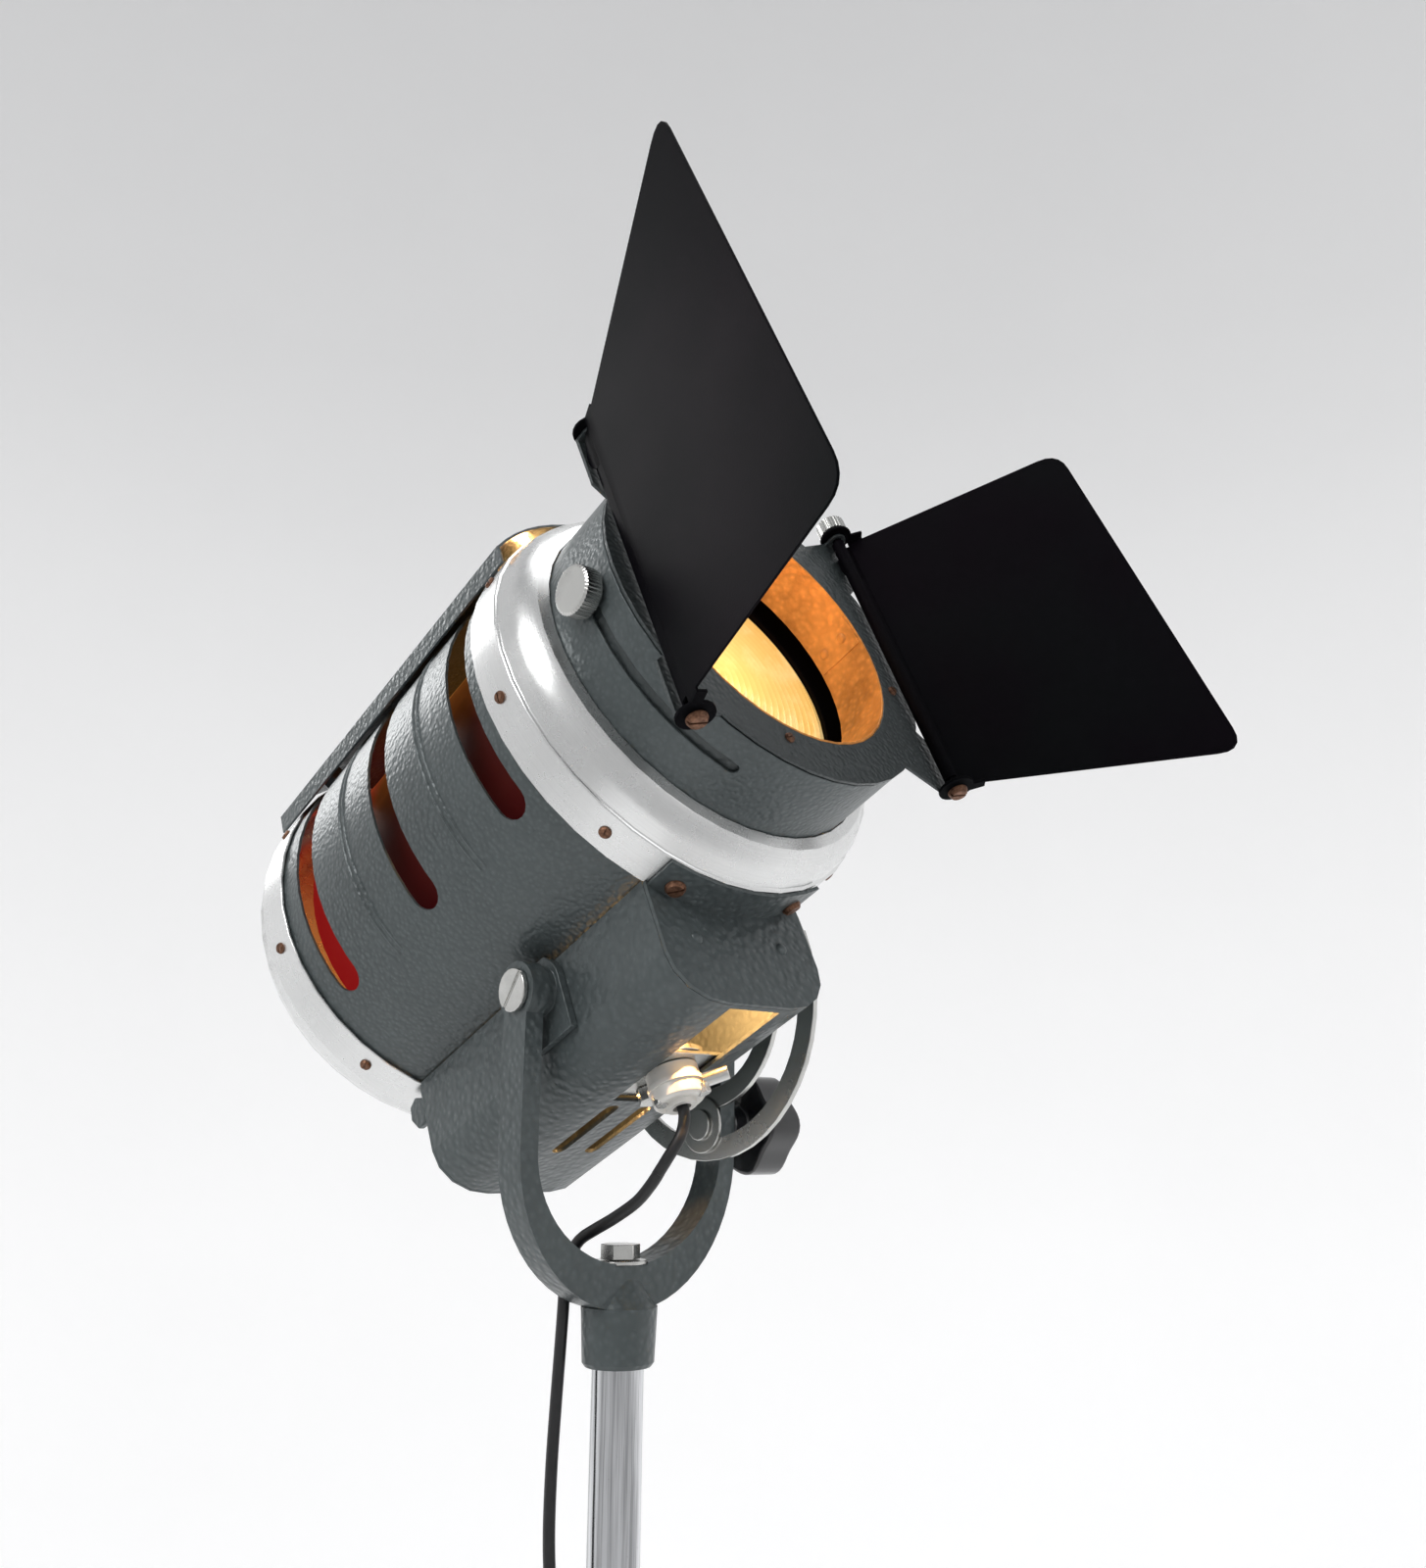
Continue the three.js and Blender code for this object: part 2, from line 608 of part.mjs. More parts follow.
function boxBody() {
  const outer = boxOutline(0);
  const inner = boxOutline(BOX_WALL).reverse();
  const wall = pushedForward(outline([...outer, ...inner]), boxBack, boxFront);
  const way = [-FOCUS_SLOT_HALF, FOCUS_SLOT_HALF, -FOCUS_SLOT_FRONT, -FOCUS_SLOT_BACK];
  const focusSlot = block(...way, boxFloor - 3, boxFloor + 6);
  const vents = [-1, 1].flatMap((side) => floorVent(side * BOX_VENT_AT));
  return cut(wall, focusSlot, ...vents);
}

function boxEnd(back, front, bandRadius) {
  const plate = pushedForward(outline(boxOutline(0)), back, front);
  const [from, to] = [back - PAST, front + PAST];
  const band = turned([[0, from], [bandRadius, from], [bandRadius, to], [0, to]], AXIS_RISE);
  return cut(plate, band);
}

function boxFrontCap() {
  const back = boxFront + GAP;
  const seat = BEZEL_BAND_RADIUS + GAP;
  const plate = boxEnd(back, back + BOX_END_WALL, seat);
  const shape = sector(seat, seat + BOX_LIP_WALL, -BOX_LIP_ANGLE, BOX_LIP_ANGLE);
  return join(plate, pushedForward(shape, back, back + BOX_LIP_REACH));
}

function boxRearPlate() {
  const front = boxBack - GAP;
  return boxEnd(front - BOX_END_WALL, front, CAP_BAND_RADIUS + GAP);
}

function rearCatch() {
  const front = boxBack - BOX_END_WALL - 2 * GAP;
  const innerFace = BOX_HALF - REAR_CATCH_WALL;
  const underBand = AXIS_RISE - Math.sqrt((CAP_BAND_RADIUS + GAP) ** 2 - innerFace ** 2);
  const shape = outline(REAR_CATCH_OUTLINE.map(([back, drop]) => [front - back, underBand + drop]));
  return pushedSideways(shape, -BOX_HALF, -BOX_HALF + REAR_CATCH_WALL);
}

// ---- pivots and the slotted quadrant ------------------------------------------------------------
function lug(side, reach, bossReach) {
  const wall = BOX_HALF + GAP;
  const shape = new THREE.Shape();
  shape.moveTo(-LUG_RADIUS, -BOX_CREASE);
  shape.lineTo(-LUG_RADIUS, LUG_SHOULDER);
  shape.quadraticCurveTo(-LUG_RADIUS, LUG_RADIUS - LUG_WALL, 0, LUG_PEAK);
  shape.quadraticCurveTo(LUG_RADIUS, LUG_RADIUS - LUG_WALL, LUG_RADIUS, LUG_SHOULDER);
  shape.lineTo(LUG_RADIUS, -BOX_CREASE);
  shape.closePath();
  const [x0, x1] = side > 0 ? [wall, reach] : [-reach, -wall];
  const pad = pushedSideways(shape, x0, x1, 6);
  const boss = barX(BOSS_RADIUS, side * (wall + 1), side * bossReach);
  const under = DRUM_RADIUS + 2 * GAP;
  const wide = 2 * LUG_RADIUS;
  const drumSpace = turned([[0, -wide], [under, -wide], [under, wide], [0, wide]], AXIS_RISE, 56);
  const hole = barX(PIVOT_RADIUS + GAP, side * (wall - 1), side * (bossReach + 1));
  return cut(join(pad, boss), drumSpace, hole);
}

function pivotScrew(side, inner) {
  const seat = yokeOuter + GAP;
  const face = seat + PIVOT_HEAD_DEPTH;
  const head = barX(PIVOT_HEAD_RADIUS, side * seat, side * face);
  const shank = barX(PIVOT_RADIUS, side * inner, side * (seat + 1));
  const reach = PIVOT_HEAD_RADIUS + PAST;
  const ends = [side * (face - PIVOT_SLOT_DEPTH), side * (face + PAST)].sort((a, b) => a - b);
  const slot = block(...ends, -PIVOT_SLOT_HALF, PIVOT_SLOT_HALF, -reach, reach);
  return cut(join(head, shank), slot.rotateX(rad(PIVOT_SLOT_TURN)));
}

// Angles here run down from forward (0) through straight down (90) to straight back (180).
function quadrantBand(inner, outer, from, to, steps = 22) {
  const at = (radius, degrees) => [radius * Math.cos(rad(degrees)), -radius * Math.sin(rad(degrees))];
  const pairs = [];
  for (let i = 0; i <= steps; i++) pairs.push(at(outer, from + ((to - from) * i) / steps));
  for (let i = steps; i >= 0; i--) pairs.push(at(inner, from + ((to - from) * i) / steps));
  return outline(pairs);
}

function quadrant() {
  const band = pushedSideways(quadrantBand(QUADRANT_INNER, QUADRANT_OUTER, 0, 180), quadrantIn, quadrantOut);
  const half = QUADRANT_BAR_HALF;
  const bar = block(quadrantIn, quadrantOut, -QUADRANT_OUTER + 1, QUADRANT_OUTER - 1, -half, half);
  const slotEnd = 180 - QUADRANT_SLOT_START;
  const slotShape = quadrantBand(QUADRANT_SLOT_INNER, QUADRANT_SLOT_OUTER, QUADRANT_SLOT_START, slotEnd);
  const slot = pushedSideways(slotShape, quadrantIn - 1, quadrantOut + 1);
  return cut(join(band, bar), slot, barX(PIVOT_RADIUS + GAP, quadrantIn - 1, quadrantOut + 1));
}

function spacer(forward) {
  return barX(SPACER_RADIUS, BOX_HALF + GAP, quadrantIn - GAP, -forward, 0, 12);
}

// ---- lamp carriage ------------------------------------------------------------------------------
const carriageFloor = boxFloor + BOX_WALL + RUN;

function lampCarriage() {
  const top = carriageFloor + CARRIAGE_WALL;
  return block(-CARRIAGE_HALF, CARRIAGE_HALF, -CARRIAGE_FRONT, -CARRIAGE_BACK, carriageFloor, top);
}

function lampSocket() {
  const low = boxFloor - SOCKET_DROP;
  const profile = [
    [0, low + CORD_MOUTH_DEPTH],
    [CORD_MOUTH_RADIUS, low + CORD_MOUTH_DEPTH],
    [CORD_MOUTH_RADIUS, low],
    [SOCKET_RADIUS - 1.5, low],
    [SOCKET_RADIUS, low + 1.5],
    [SOCKET_RADIUS, carriageFloor - GAP],
    [0, carriageFloor - GAP],
  ];
  return turnedUpright(profile, 0, -SOCKET_AT, 24);
}

function lampPost() {
  const low = carriageFloor + CARRIAGE_WALL + GAP;
  const flange = POST_RADIUS + POST_FLANGE;
  const profile = [
    [0, low],
    [flange, low],
    [flange, low + POST_FLANGE_WALL],
    [POST_RADIUS, low + POST_FLANGE_WALL],
    [POST_RADIUS, POST_TOP],
    [0, POST_TOP],
  ];
  return turnedUpright(profile, 0, -SOCKET_AT, 24);
}

function lampHolder() {
  const low = POST_TOP + GAP;
  const profile = [
    [0, low],
    [HOLDER_FOOT_RADIUS, low],
    [HOLDER_RADIUS, low + HOLDER_FLARE],
    [HOLDER_RADIUS, HOLDER_TOP],
    [HOLDER_RADIUS - HOLDER_WALL, HOLDER_TOP],
    [HOLDER_RADIUS - HOLDER_WALL, low + HOLDER_FLOOR],
    [0, low + HOLDER_FLOOR],
  ];
  return turnedUpright(profile, 0, -SOCKET_AT, 24);
}

function bulb() {
  const low = POST_TOP + HOLDER_FLOOR + 2 * GAP;
  const centre = BULB_TOP - BULB_RADIUS;
  const profile = [[0, low], [BULB_NECK_RADIUS, low], [BULB_NECK_RADIUS, HOLDER_TOP + BULB_NECK_RISE]];
  const steps = 7;
  const start = rad(BULB_SHOULDER);
  for (let i = 0; i <= steps; i++) {
    const turn = start + (Math.PI / 2 - start) * (i / steps);
    profile.push([i === steps ? 0 : BULB_RADIUS * Math.cos(turn), centre + BULB_RADIUS * Math.sin(turn)]);
  }
  return turnedUpright(profile, 0, -SOCKET_AT, 16);
}

const reflectorRim = SOCKET_AT - BULB_RADIUS - REFLECTOR_GAP + REFLECTOR_SAG;
const reflectorBack = reflectorRim - REFLECTOR_SAG;

function reflector() {
  const outer = [];
  const inner = [];
  const steps = 4;
  for (let i = 0; i <= steps; i++) {
    const radius = (REFLECTOR_RADIUS * i) / steps;
    const forward = reflectorBack + REFLECTOR_SAG * (i / steps) ** 2;
    outer.push([radius, forward - REFLECTOR_WALL]);
    inner.unshift([radius, forward]);
  }
  return turned([...outer, ...inner], AXIS_RISE, 24);
}

function reflectorBracket() {
  const rear = reflectorBack - REFLECTOR_WALL - GAP;
  const behindPost = SOCKET_AT - POST_RADIUS - GAP;
  const across = [-BRACKET_HALF, BRACKET_HALF];
  const armTop = BRACKET_FLOOR + BRACKET_ARM_WALL;
  const postTop = POST_TOP - BRACKET_POST_DROP;
  const post = block(...across, -behindPost, -(behindPost - BRACKET_WALL), BRACKET_FLOOR, postTop);
  const arm = block(...across, -behindPost, -(rear - BRACKET_WALL), BRACKET_FLOOR, armTop);
  const top = AXIS_RISE + BRACKET_RISE;
  const upright = block(...across, -rear, -(rear - BRACKET_WALL), BRACKET_FLOOR, top);
  return join(post, arm, upright);
}

function focusNut() {
  const across = FOCUS_NUT_ACROSS / Math.sqrt(3);
  const top = carriageFloor - GAP;
  const forward = SOCKET_AT - SOCKET_RADIUS - GAP - FOCUS_NUT_ACROSS / 2;
  return barZ(across, top - FOCUS_NUT_DEPTH, top, 0, 0, 6).rotateZ(rad(30)).translate(0, -forward, 0);
}

function cordClamp() {
  const start = SOCKET_RADIUS + GAP;
  const bar = barX(CORD_CLAMP_RADIUS, start, start + CORD_CLAMP_LENGTH, 0, 0, 12);
  return bar.rotateZ(rad(CORD_CLAMP_TURN)).translate(0, -SOCKET_AT, boxFloor - CORD_CLAMP_DROP);
}

// ---- door ring ----------------------------------------------------------------------------------
function doorPlate() {
  const back = DOOR_PLATE_AT;
  const front = back + DOOR_PLATE_WALL;
  const sleeve = NOSE_RADIUS - NOSE_WALL - RUN;
  const inner = sleeve - DOOR_SLEEVE_WALL;
  const ring = turned(
    [
      [sleeve, DOOR_SLEEVE_BACK],
      [sleeve, back],
      [DOOR_PLATE_RADIUS, back],
      [DOOR_PLATE_RADIUS, front],
      [DOOR_OPENING_RADIUS, front],
      [DOOR_OPENING_RADIUS, back],
      [inner, back],
      [inner, DOOR_SLEEVE_BACK],
    ],
    AXIS_RISE,
  );
  const tabAt = HINGE_HALF - RUN - HINGE_TAB_WALL;
  const corners = [];
  for (const side of [-1, 1]) {
    for (const end of [-1, 1]) {
      corners.push(hingeCorner(side, end, tabAt));
    }
  }
  return join(ring, ...corners);
}

// A corner of the plate with its tab turned forward to hold one end of a hinge rod.
function hingeCorner(side, end, tabAt) {
  const z = AXIS_RISE + end * tabAt;
  const x = side * HINGE_OUT;
  const web = outline([
    [x + side * HINGE_TAB_RADIUS, z + end * HINGE_TAB_WALL],
    [x - side * HINGE_TAB_RADIUS, z + end * HINGE_TAB_WALL],
    [x - side * HINGE_WEB_REACH, z - end * HINGE_WEB_DROP],
    [x - side * HINGE_WEB_NECK, z - end * HINGE_WEB_FOOT],
    [x + side * HINGE_TAB_RADIUS, z - end * HINGE_WEB_SIDE],
  ]);
  const plate = pushedForward(web, DOOR_PLATE_AT, DOOR_PLATE_AT + DOOR_PLATE_WALL);
  const z0 = Math.min(z, z + end * HINGE_TAB_WALL);
  const z1 = Math.max(z, z + end * HINGE_TAB_WALL);
  const across = [x - HINGE_TAB_RADIUS, x + HINGE_TAB_RADIUS];
  const tab = block(...across, -hingeForward, -DOOR_PLATE_AT - 0.5, z0, z1);
  const nose = barZ(HINGE_TAB_RADIUS, z0, z1, x, -hingeForward, 16);
  const hole = barZ(HINGE_ROD_RADIUS + GAP, z0 - 1, z1 + 1, x, -hingeForward, 12);
  return cut(join(plate, tab, nose), hole);
}

function lightCollar() {
  const outer = DOOR_OPENING_RADIUS - GAP;
  const inner = outer - COLLAR_WALL;
  const front = DOOR_PLATE_AT + DOOR_PLATE_WALL;
  return turned([[inner, COLLAR_BACK], [outer, COLLAR_BACK], [outer, front], [inner, front]], AXIS_RISE);
}

function ringKnob() {
  const sleeve = NOSE_RADIUS - NOSE_WALL - RUN;
  const seat = NOSE_RADIUS + 2 * GAP;
  const shank = barX(RING_KNOB_SHANK, -seat - 1, -sleeve - GAP, 0, 0, 12);
  const head = barX(RING_KNOB_RADIUS, -seat - RING_KNOB_LENGTH, -seat, 0, 0, 20);
  const turn = rad(90 - RING_KNOB_ANGLE);
  return join(head, shank).rotateY(-turn).translate(0, -NOSE_SLOT_AT, AXIS_RISE);
}

function hingeRod(side) {
  const end = HINGE_HALF + LEAF_EAR_WALL + RUN;
  const x = side * HINGE_OUT;
  return barZ(HINGE_ROD_RADIUS, AXIS_RISE - end, AXIS_RISE + end, x, -hingeForward, 12);
}

function hingeScrew(side) {
  const top = AXIS_RISE - HINGE_HALF - LEAF_EAR_WALL - RUN - GAP;
  const x = side * HINGE_OUT;
  return barZ(HINGE_SCREW_RADIUS, top - HINGE_SCREW_DEPTH, top, x, -hingeForward, 16);
}

function hingeNut() {
  const low = AXIS_RISE + HINGE_HALF + LEAF_EAR_WALL + RUN + GAP;
  return barZ(HINGE_NUT_RADIUS, low, low + HINGE_NUT_DEPTH, HINGE_OUT, -hingeForward, 16);
}

// ---- leaves -------------------------------------------------------------------------------------
// Built flat with the hinge axis on Z through the origin and the plate reaching towards +X.
function leaf(side) {
  const start = LEAF_START;
  const slope = (LEAF_OUTER_HALF - LEAF_INNER_HALF) / (LEAF_REACH - start);
  const c = LEAF_CORNER;
  const shape = new THREE.Shape();
  shape.moveTo(start, -LEAF_INNER_HALF);
  shape.lineTo(LEAF_REACH - c, -LEAF_OUTER_HALF + slope * c);
  shape.quadraticCurveTo(LEAF_REACH, -LEAF_OUTER_HALF, LEAF_REACH, -LEAF_OUTER_HALF + c);
  shape.lineTo(LEAF_REACH, LEAF_OUTER_HALF - c);
  shape.quadraticCurveTo(LEAF_REACH, LEAF_OUTER_HALF, LEAF_REACH - c, LEAF_OUTER_HALF - slope * c);
  shape.lineTo(start, LEAF_INNER_HALF);
  shape.closePath();
  const far = side * (LEAF_OFFSET + LEAF_WALL);
  const near = side * LEAF_OFFSET;
  const y0 = Math.min(near, far);
  const plate = new THREE.ExtrudeGeometry(shape, { depth: LEAF_WALL, bevelEnabled: false, curveSegments: 5 })
    .rotateX(Math.PI / 2)
    .translate(0, y0 + LEAF_WALL, 0);
  const parts = [plate];
  const holes = [];
  for (const end of [-1, 1]) {
    const z = end * HINGE_HALF;
    const z0 = Math.min(z, z + end * LEAF_EAR_WALL);
    const z1 = z0 + LEAF_EAR_WALL;
    parts.push(barZ(LEAF_EAR_RADIUS, z0, z1, 0, 0, 20));
    const inward = [Math.min(z0, end * (LEAF_INNER_HALF - 3)), Math.max(z1, end * (LEAF_INNER_HALF - 3))];
    const reach = start + LEAF_EAR_RADIUS;
    parts.push(block(0, reach, Math.min(0, far), Math.max(0, far), z0, z1));
    parts.push(block(start, reach, y0, y0 + LEAF_WALL, ...inward));
    holes.push(barZ(HINGE_ROD_RADIUS + GAP, z0 - 1, z1 + 1, 0, 0, 12));
  }
  return cut(join(...parts), ...holes);
}

// ---- yoke, tube and clamp -----------------------------------------------------------------------
function yokeOutline() {
  const shape = new THREE.Shape();
  const deep = YOKE_BEND_DEPTH + YOKE_BOTTOM_WALL;
  shape.moveTo(yokeOuter, 0);
  shape.lineTo(yokeOuter, -YOKE_BEND_DROP);
  shape.absellipse(0, -YOKE_BEND_DROP, yokeOuter, deep, 0, Math.PI, true);
  shape.lineTo(-yokeOuter, 0);
  shape.lineTo(-YOKE_INNER, 0);
  shape.lineTo(-YOKE_INNER, -YOKE_BEND_DROP);
  shape.absellipse(0, -YOKE_BEND_DROP, YOKE_INNER, YOKE_BEND_DEPTH, Math.PI, 0, false);
  shape.lineTo(YOKE_INNER, 0);
  shape.closePath();
  return shape;
}

function yoke() {
  const fork = pushedForward(yokeOutline(), -YOKE_HALF_WIDTH, YOKE_HALF_WIDTH, 14);
  const eyes = [-1, 1].map((side) => barX(YOKE_EYE_RADIUS, side * YOKE_INNER, side * yokeOuter));
  const socket = turnedUpright(
    [
      [0, -socketTopDrop],
      [YOKE_SOCKET_RADIUS, -socketTopDrop],
      [YOKE_SOCKET_LIP_RADIUS, -yokeBottomDrop + 2],
      [YOKE_SOCKET_LIP_RADIUS - 1.5, -yokeBottomDrop],
      [0, -yokeBottomDrop],
    ],
    0,
    0,
  );
  const skirt = turnedUpright(
    [
      [0, -yokeFloorDrop - 6],
      [YOKE_HALF_WIDTH, -yokeFloorDrop - 6],
      [YOKE_SOCKET_RADIUS, -socketTopDrop - 1],
      [0, -socketTopDrop - 1],
    ],
    0,
    0,
  );
  const seat = barZ(PAN_WASHER_RADIUS + 0.5, -yokeFloorDrop - 0.1, -yokeFloorDrop + 6);
  const bore = barZ(TUBE_RADIUS + RUN, -yokeBottomDrop - 1, -tubeTopDrop + RUN, 0, 0, 32);
  const boltHole = barZ(PAN_BOLT_RADIUS + GAP, -yokeBottomDrop - 1, 0, 0, 0, 16);
  const pivots = barX(PIVOT_RADIUS + RUN, -yokeOuter - 1, yokeOuter + 1);
  const clampHole = barX(CLAMP_BOLT_RADIUS + GAP, YOKE_INNER - 1, yokeOuter + 1, 0, -slotMiddle, 16);
  return cut(join(fork, ...eyes, socket, skirt), seat, bore, boltHole, pivots, clampHole);
}

function panWasher() {
  const low = -yokeFloorDrop + GAP;
  const high = low + PAN_WASHER_WALL;
  const hole = PAN_BOLT_RADIUS + GAP;
  const profile = [[hole, low], [PAN_WASHER_RADIUS, low], [PAN_WASHER_RADIUS, high], [hole, high]];
  return turnedUpright(profile, 0, 0, 24);
}

function panBolt() {
  const seat = -yokeFloorDrop + PAN_WASHER_WALL + 2 * GAP;
  const head = barZ(PAN_HEAD_ACROSS / Math.sqrt(3), seat, seat + PAN_HEAD_DEPTH, 0, 0, 6);
  const shank = barZ(PAN_BOLT_RADIUS, -tubeTopDrop - PLUG_DEPTH + 8, seat + 1, 0, 0, 16);
  return join(head, shank);
}

function standTube() {
  const top = TILT_HEIGHT - tubeTopDrop;
  const inner = TUBE_RADIUS - TUBE_WALL;
  const bore = [[inner, top], [inner, TUBE_END_WALL], [0, TUBE_END_WALL]];
  const profile = [[0, 0], [TUBE_RADIUS, 0], [TUBE_RADIUS, top], ...bore];
  return turnedUpright(profile, 0, 0, 32);
}

function tubePlug() {
  const top = TILT_HEIGHT - tubeTopDrop - 1;
  const outer = TUBE_RADIUS - TUBE_WALL - GAP;
  const hole = PAN_BOLT_RADIUS + RUN;
  const low = top - PLUG_DEPTH;
  return turnedUpright([[hole, low], [outer, low], [outer, top], [hole, top]], 0, 0, 24);
}

const washerOut = quadrantIn - GAP;
const washerIn = washerOut - CLAMP_WASHER_WALL;

function clampWasher() {
  const ring = barX(CLAMP_WASHER_RADIUS, washerIn, washerOut, 0, -slotMiddle, 24);
  return cut(ring, barX(CLAMP_BOLT_RADIUS + GAP, washerIn - 1, washerOut + 1, 0, -slotMiddle, 16));
}

function clampBolt() {
  const head = barX(CLAMP_HEAD_RADIUS, washerIn - GAP - CLAMP_HEAD_DEPTH, washerIn - GAP, 0, -slotMiddle, 16);
  const boltEnd = knobIn + KNOB_DEPTH - KNOB_BORE_FLOOR - 1;
  const shank = barX(CLAMP_BOLT_RADIUS, washerIn - GAP - 0.5, boltEnd, 0, -slotMiddle, 16);
  return join(head, shank);
}

function clampKnob() {
  const points = [];
  const count = KNOB_LOBES * KNOB_LOBE_STEPS;
  for (let i = 0; i < count; i++) {
    const turn = (2 * Math.PI * i) / count;
    const radius = KNOB_RADIUS - KNOB_LOBE_DEPTH * (1 - Math.cos(KNOB_LOBES * turn)) * 0.5;
    points.push([radius * Math.cos(turn), radius * Math.sin(turn)]);
  }
  const star = pushedSideways(outline(points), knobIn, knobIn + KNOB_DEPTH);
  const hub = barX(KNOB_HUB_RADIUS, yokeOuter + GAP, knobIn + 1);
  const hole = barX(CLAMP_BOLT_RADIUS + GAP, yokeOuter - 1, knobIn + KNOB_DEPTH - KNOB_BORE_FLOOR, 0, 0, 16);
  return cut(join(star, hub), hole).translate(0, 0, -slotMiddle);
}

// ---- cord ---------------------------------------------------------------------------------------
// Places below are relative to the middle of the tilt axis, with the head at its rest tilt.
function inHead(x, forward, height) {
  const y = -forward * Math.cos(tilt) + height * Math.sin(tilt);
  return [x, y, forward * Math.sin(tilt) + height * Math.cos(tilt)];
}

const coilShift = PLANNED_COIL_OUT - coilOut; // keeps the drop above the coil for any tube
const cordJoint = new THREE.Vector3(-9.4, -38.5, -83);
const cordRun = new THREE.Vector3(-0.12, 0.6, -0.79).normalize();

// A place along the straight stretch where the two lengths of cord meet.
function alongJoint(distance) {
  return cordJoint.clone().addScaledVector(cordRun, distance).toArray();
}

function cordLead() {
  const mouth = boxFloor - SOCKET_DROP - GAP;
  const points = [inHead(0, SOCKET_AT, mouth), inHead(0, SOCKET_AT, mouth - 6)];
  points.push([-5, -48.3, -66.5], alongJoint(-8), alongJoint(0));
  return tube(points, CORD_RADIUS, 8, 10);
}

// The long drop: past the yoke's rear edge at heights above its floor, then down to the coil's top.
function cordDrop() {
  const pastYoke = [
    [-11.8, -26, 30.5],
    [-14.8, -13, 22.5],
    [-17.3, -1, 16.5],
    [-18.9, 8, 11.5],
    [-20, 13.6, 4],
    [-20.6, 16.2, -6],
    [-21.2, 16.4, -21],
    [-22.5, 16.2, -41],
    [-24, 16, -63],
  ].map(([x, y, rise]) => [x, y, rise - yokeFloorDrop]);
  const ontoCoil = [
    [-25.3, 16, 109],
    [-25.7, 15.6, 81],
    [-25.5, 13.2, 60],
    [-25, 7.4, 44],
  ].map(([x, y, rise]) => [x + coilShift, y, rise - COIL_DROP]);
  return tube([alongJoint(GAP), alongJoint(6), ...pastYoke, ...ontoCoil], CORD_RADIUS, 24, 10);
}

function cordCoil() {
  const points = [];
  const steps = 10;
  for (let i = 0; i <= steps; i++) {
    const turn = (2 * Math.PI * i) / steps;
    const out = COIL_RADIUS + COIL_SECTION * Math.cos(turn);
    points.push(new THREE.Vector2(out, COIL_SECTION * Math.sin(turn)));
  }
  const ring = new THREE.LatheGeometry(points, 28).rotateZ(Math.PI / 2);
  return ring.translate(-coilOut, COIL_RADIUS, -COIL_DROP);
}

const endArc = { radius: END_ARC_RADIUS, x: END_BESIDE - coilOut - COIL_SECTION, y: 21, z: -COIL_DROP - 5 };
const plugPlace = [endArc.x, endArc.y - endArc.radius, endArc.z - 3];

function cordEnd() {
  const points = [30, 50, 70, 90].map((turn) => [
    endArc.x,
    endArc.y - endArc.radius * Math.sin(rad(turn)),
    endArc.z + endArc.radius * Math.cos(rad(turn)),
  ]);
  points.push([plugPlace[0], plugPlace[1], plugPlace[2] + GAP]);
  return tube(points, CORD_RADIUS, 8, 8);
}

function cordPlug() {
  const neck = barZ(PLUG_NECK_RADIUS, -PLUG_NECK_LENGTH, 0);
  const flat = pushedForward(outline(PLUG_OUTLINE), -PLUG_HALF_DEPTH, PLUG_HALF_DEPTH);
  const pinEnd = -PLUG_LENGTH - PLUG_PIN_LENGTH;
  const pinTop = 2 - PLUG_LENGTH;
  const pins = [-1, 1].map((side) => barZ(PLUG_PIN_RADIUS, pinEnd, pinTop, side * PLUG_PIN_OUT, 0, 10));
  return join(neck, flat, ...pins).translate(...plugPlace);
}

function strapLoop(tubeRadius, coilRadius) {
  const distance = coilOut;
  const lean = Math.acos((tubeRadius - coilRadius) / distance);
  const shape = new THREE.Path();
  shape.absarc(0, 0, tubeRadius, Math.PI + lean, Math.PI - lean + 2 * Math.PI, false);
  shape.absarc(-distance, 0, coilRadius, Math.PI - lean, Math.PI + lean, false);
  return shape.getPoints(10);
}

function cordStrap() {
  const inner = [TUBE_RADIUS + RUN, COIL_SECTION + 1.4];
  const shape = new THREE.Shape(strapLoop(inner[0] + STRAP_WALL, inner[1] + STRAP_WALL));
  const hole = new THREE.Shape(strapLoop(inner[0], inner[1]));
  const options = { depth: STRAP_HEIGHT, bevelEnabled: false };
  const low = -COIL_DROP - STRAP_HEIGHT / 2;
  const outerLoop = new THREE.ExtrudeGeometry(shape, options).translate(0, 0, low);
  const innerLoop = new THREE.ExtrudeGeometry(hole, { ...options, depth: STRAP_HEIGHT + 4 });
  return cut(outerLoop, innerLoop.translate(0, 0, low - 2));
}

// ---- assembly -----------------------------------------------------------------------------------
const spotlight = new THREE.Group();

const stand = new THREE.Group();
stand.add(piece("stand_tube", standTube(), chrome), piece("tube_plug", tubePlug(), brightSteel));

const fork = new THREE.Group();
fork.position.z = TILT_HEIGHT;
fork.add(
  piece("yoke", yoke(), hammeredGrey),
  piece("pan_washer", panWasher(), brightSteel),
  piece("pan_bolt", panBolt(), brightSteel),
  piece("left_pivot_screw", pivotScrew(-1, BOX_HALF + 2 * GAP), brightSteel),
  piece("right_pivot_screw", pivotScrew(1, BOX_HALF + 2 * GAP), brightSteel),
  piece("clamp_bolt", clampBolt(), brightSteel),
  piece("clamp_washer", clampWasher(), brightSteel),
  piece("clamp_knob", clampKnob(), bakelite),
  piece("cord_lead", cordLead(), blackRubber),
  piece("cord_drop", cordDrop(), blackRubber),
  piece("cord_coil", cordCoil(), blackRubber),
  piece("cord_end", cordEnd(), blackRubber),
  piece("cord_plug", cordPlug(), blackRubber),
  piece("cord_strap", cordStrap(), blackRubber),
);

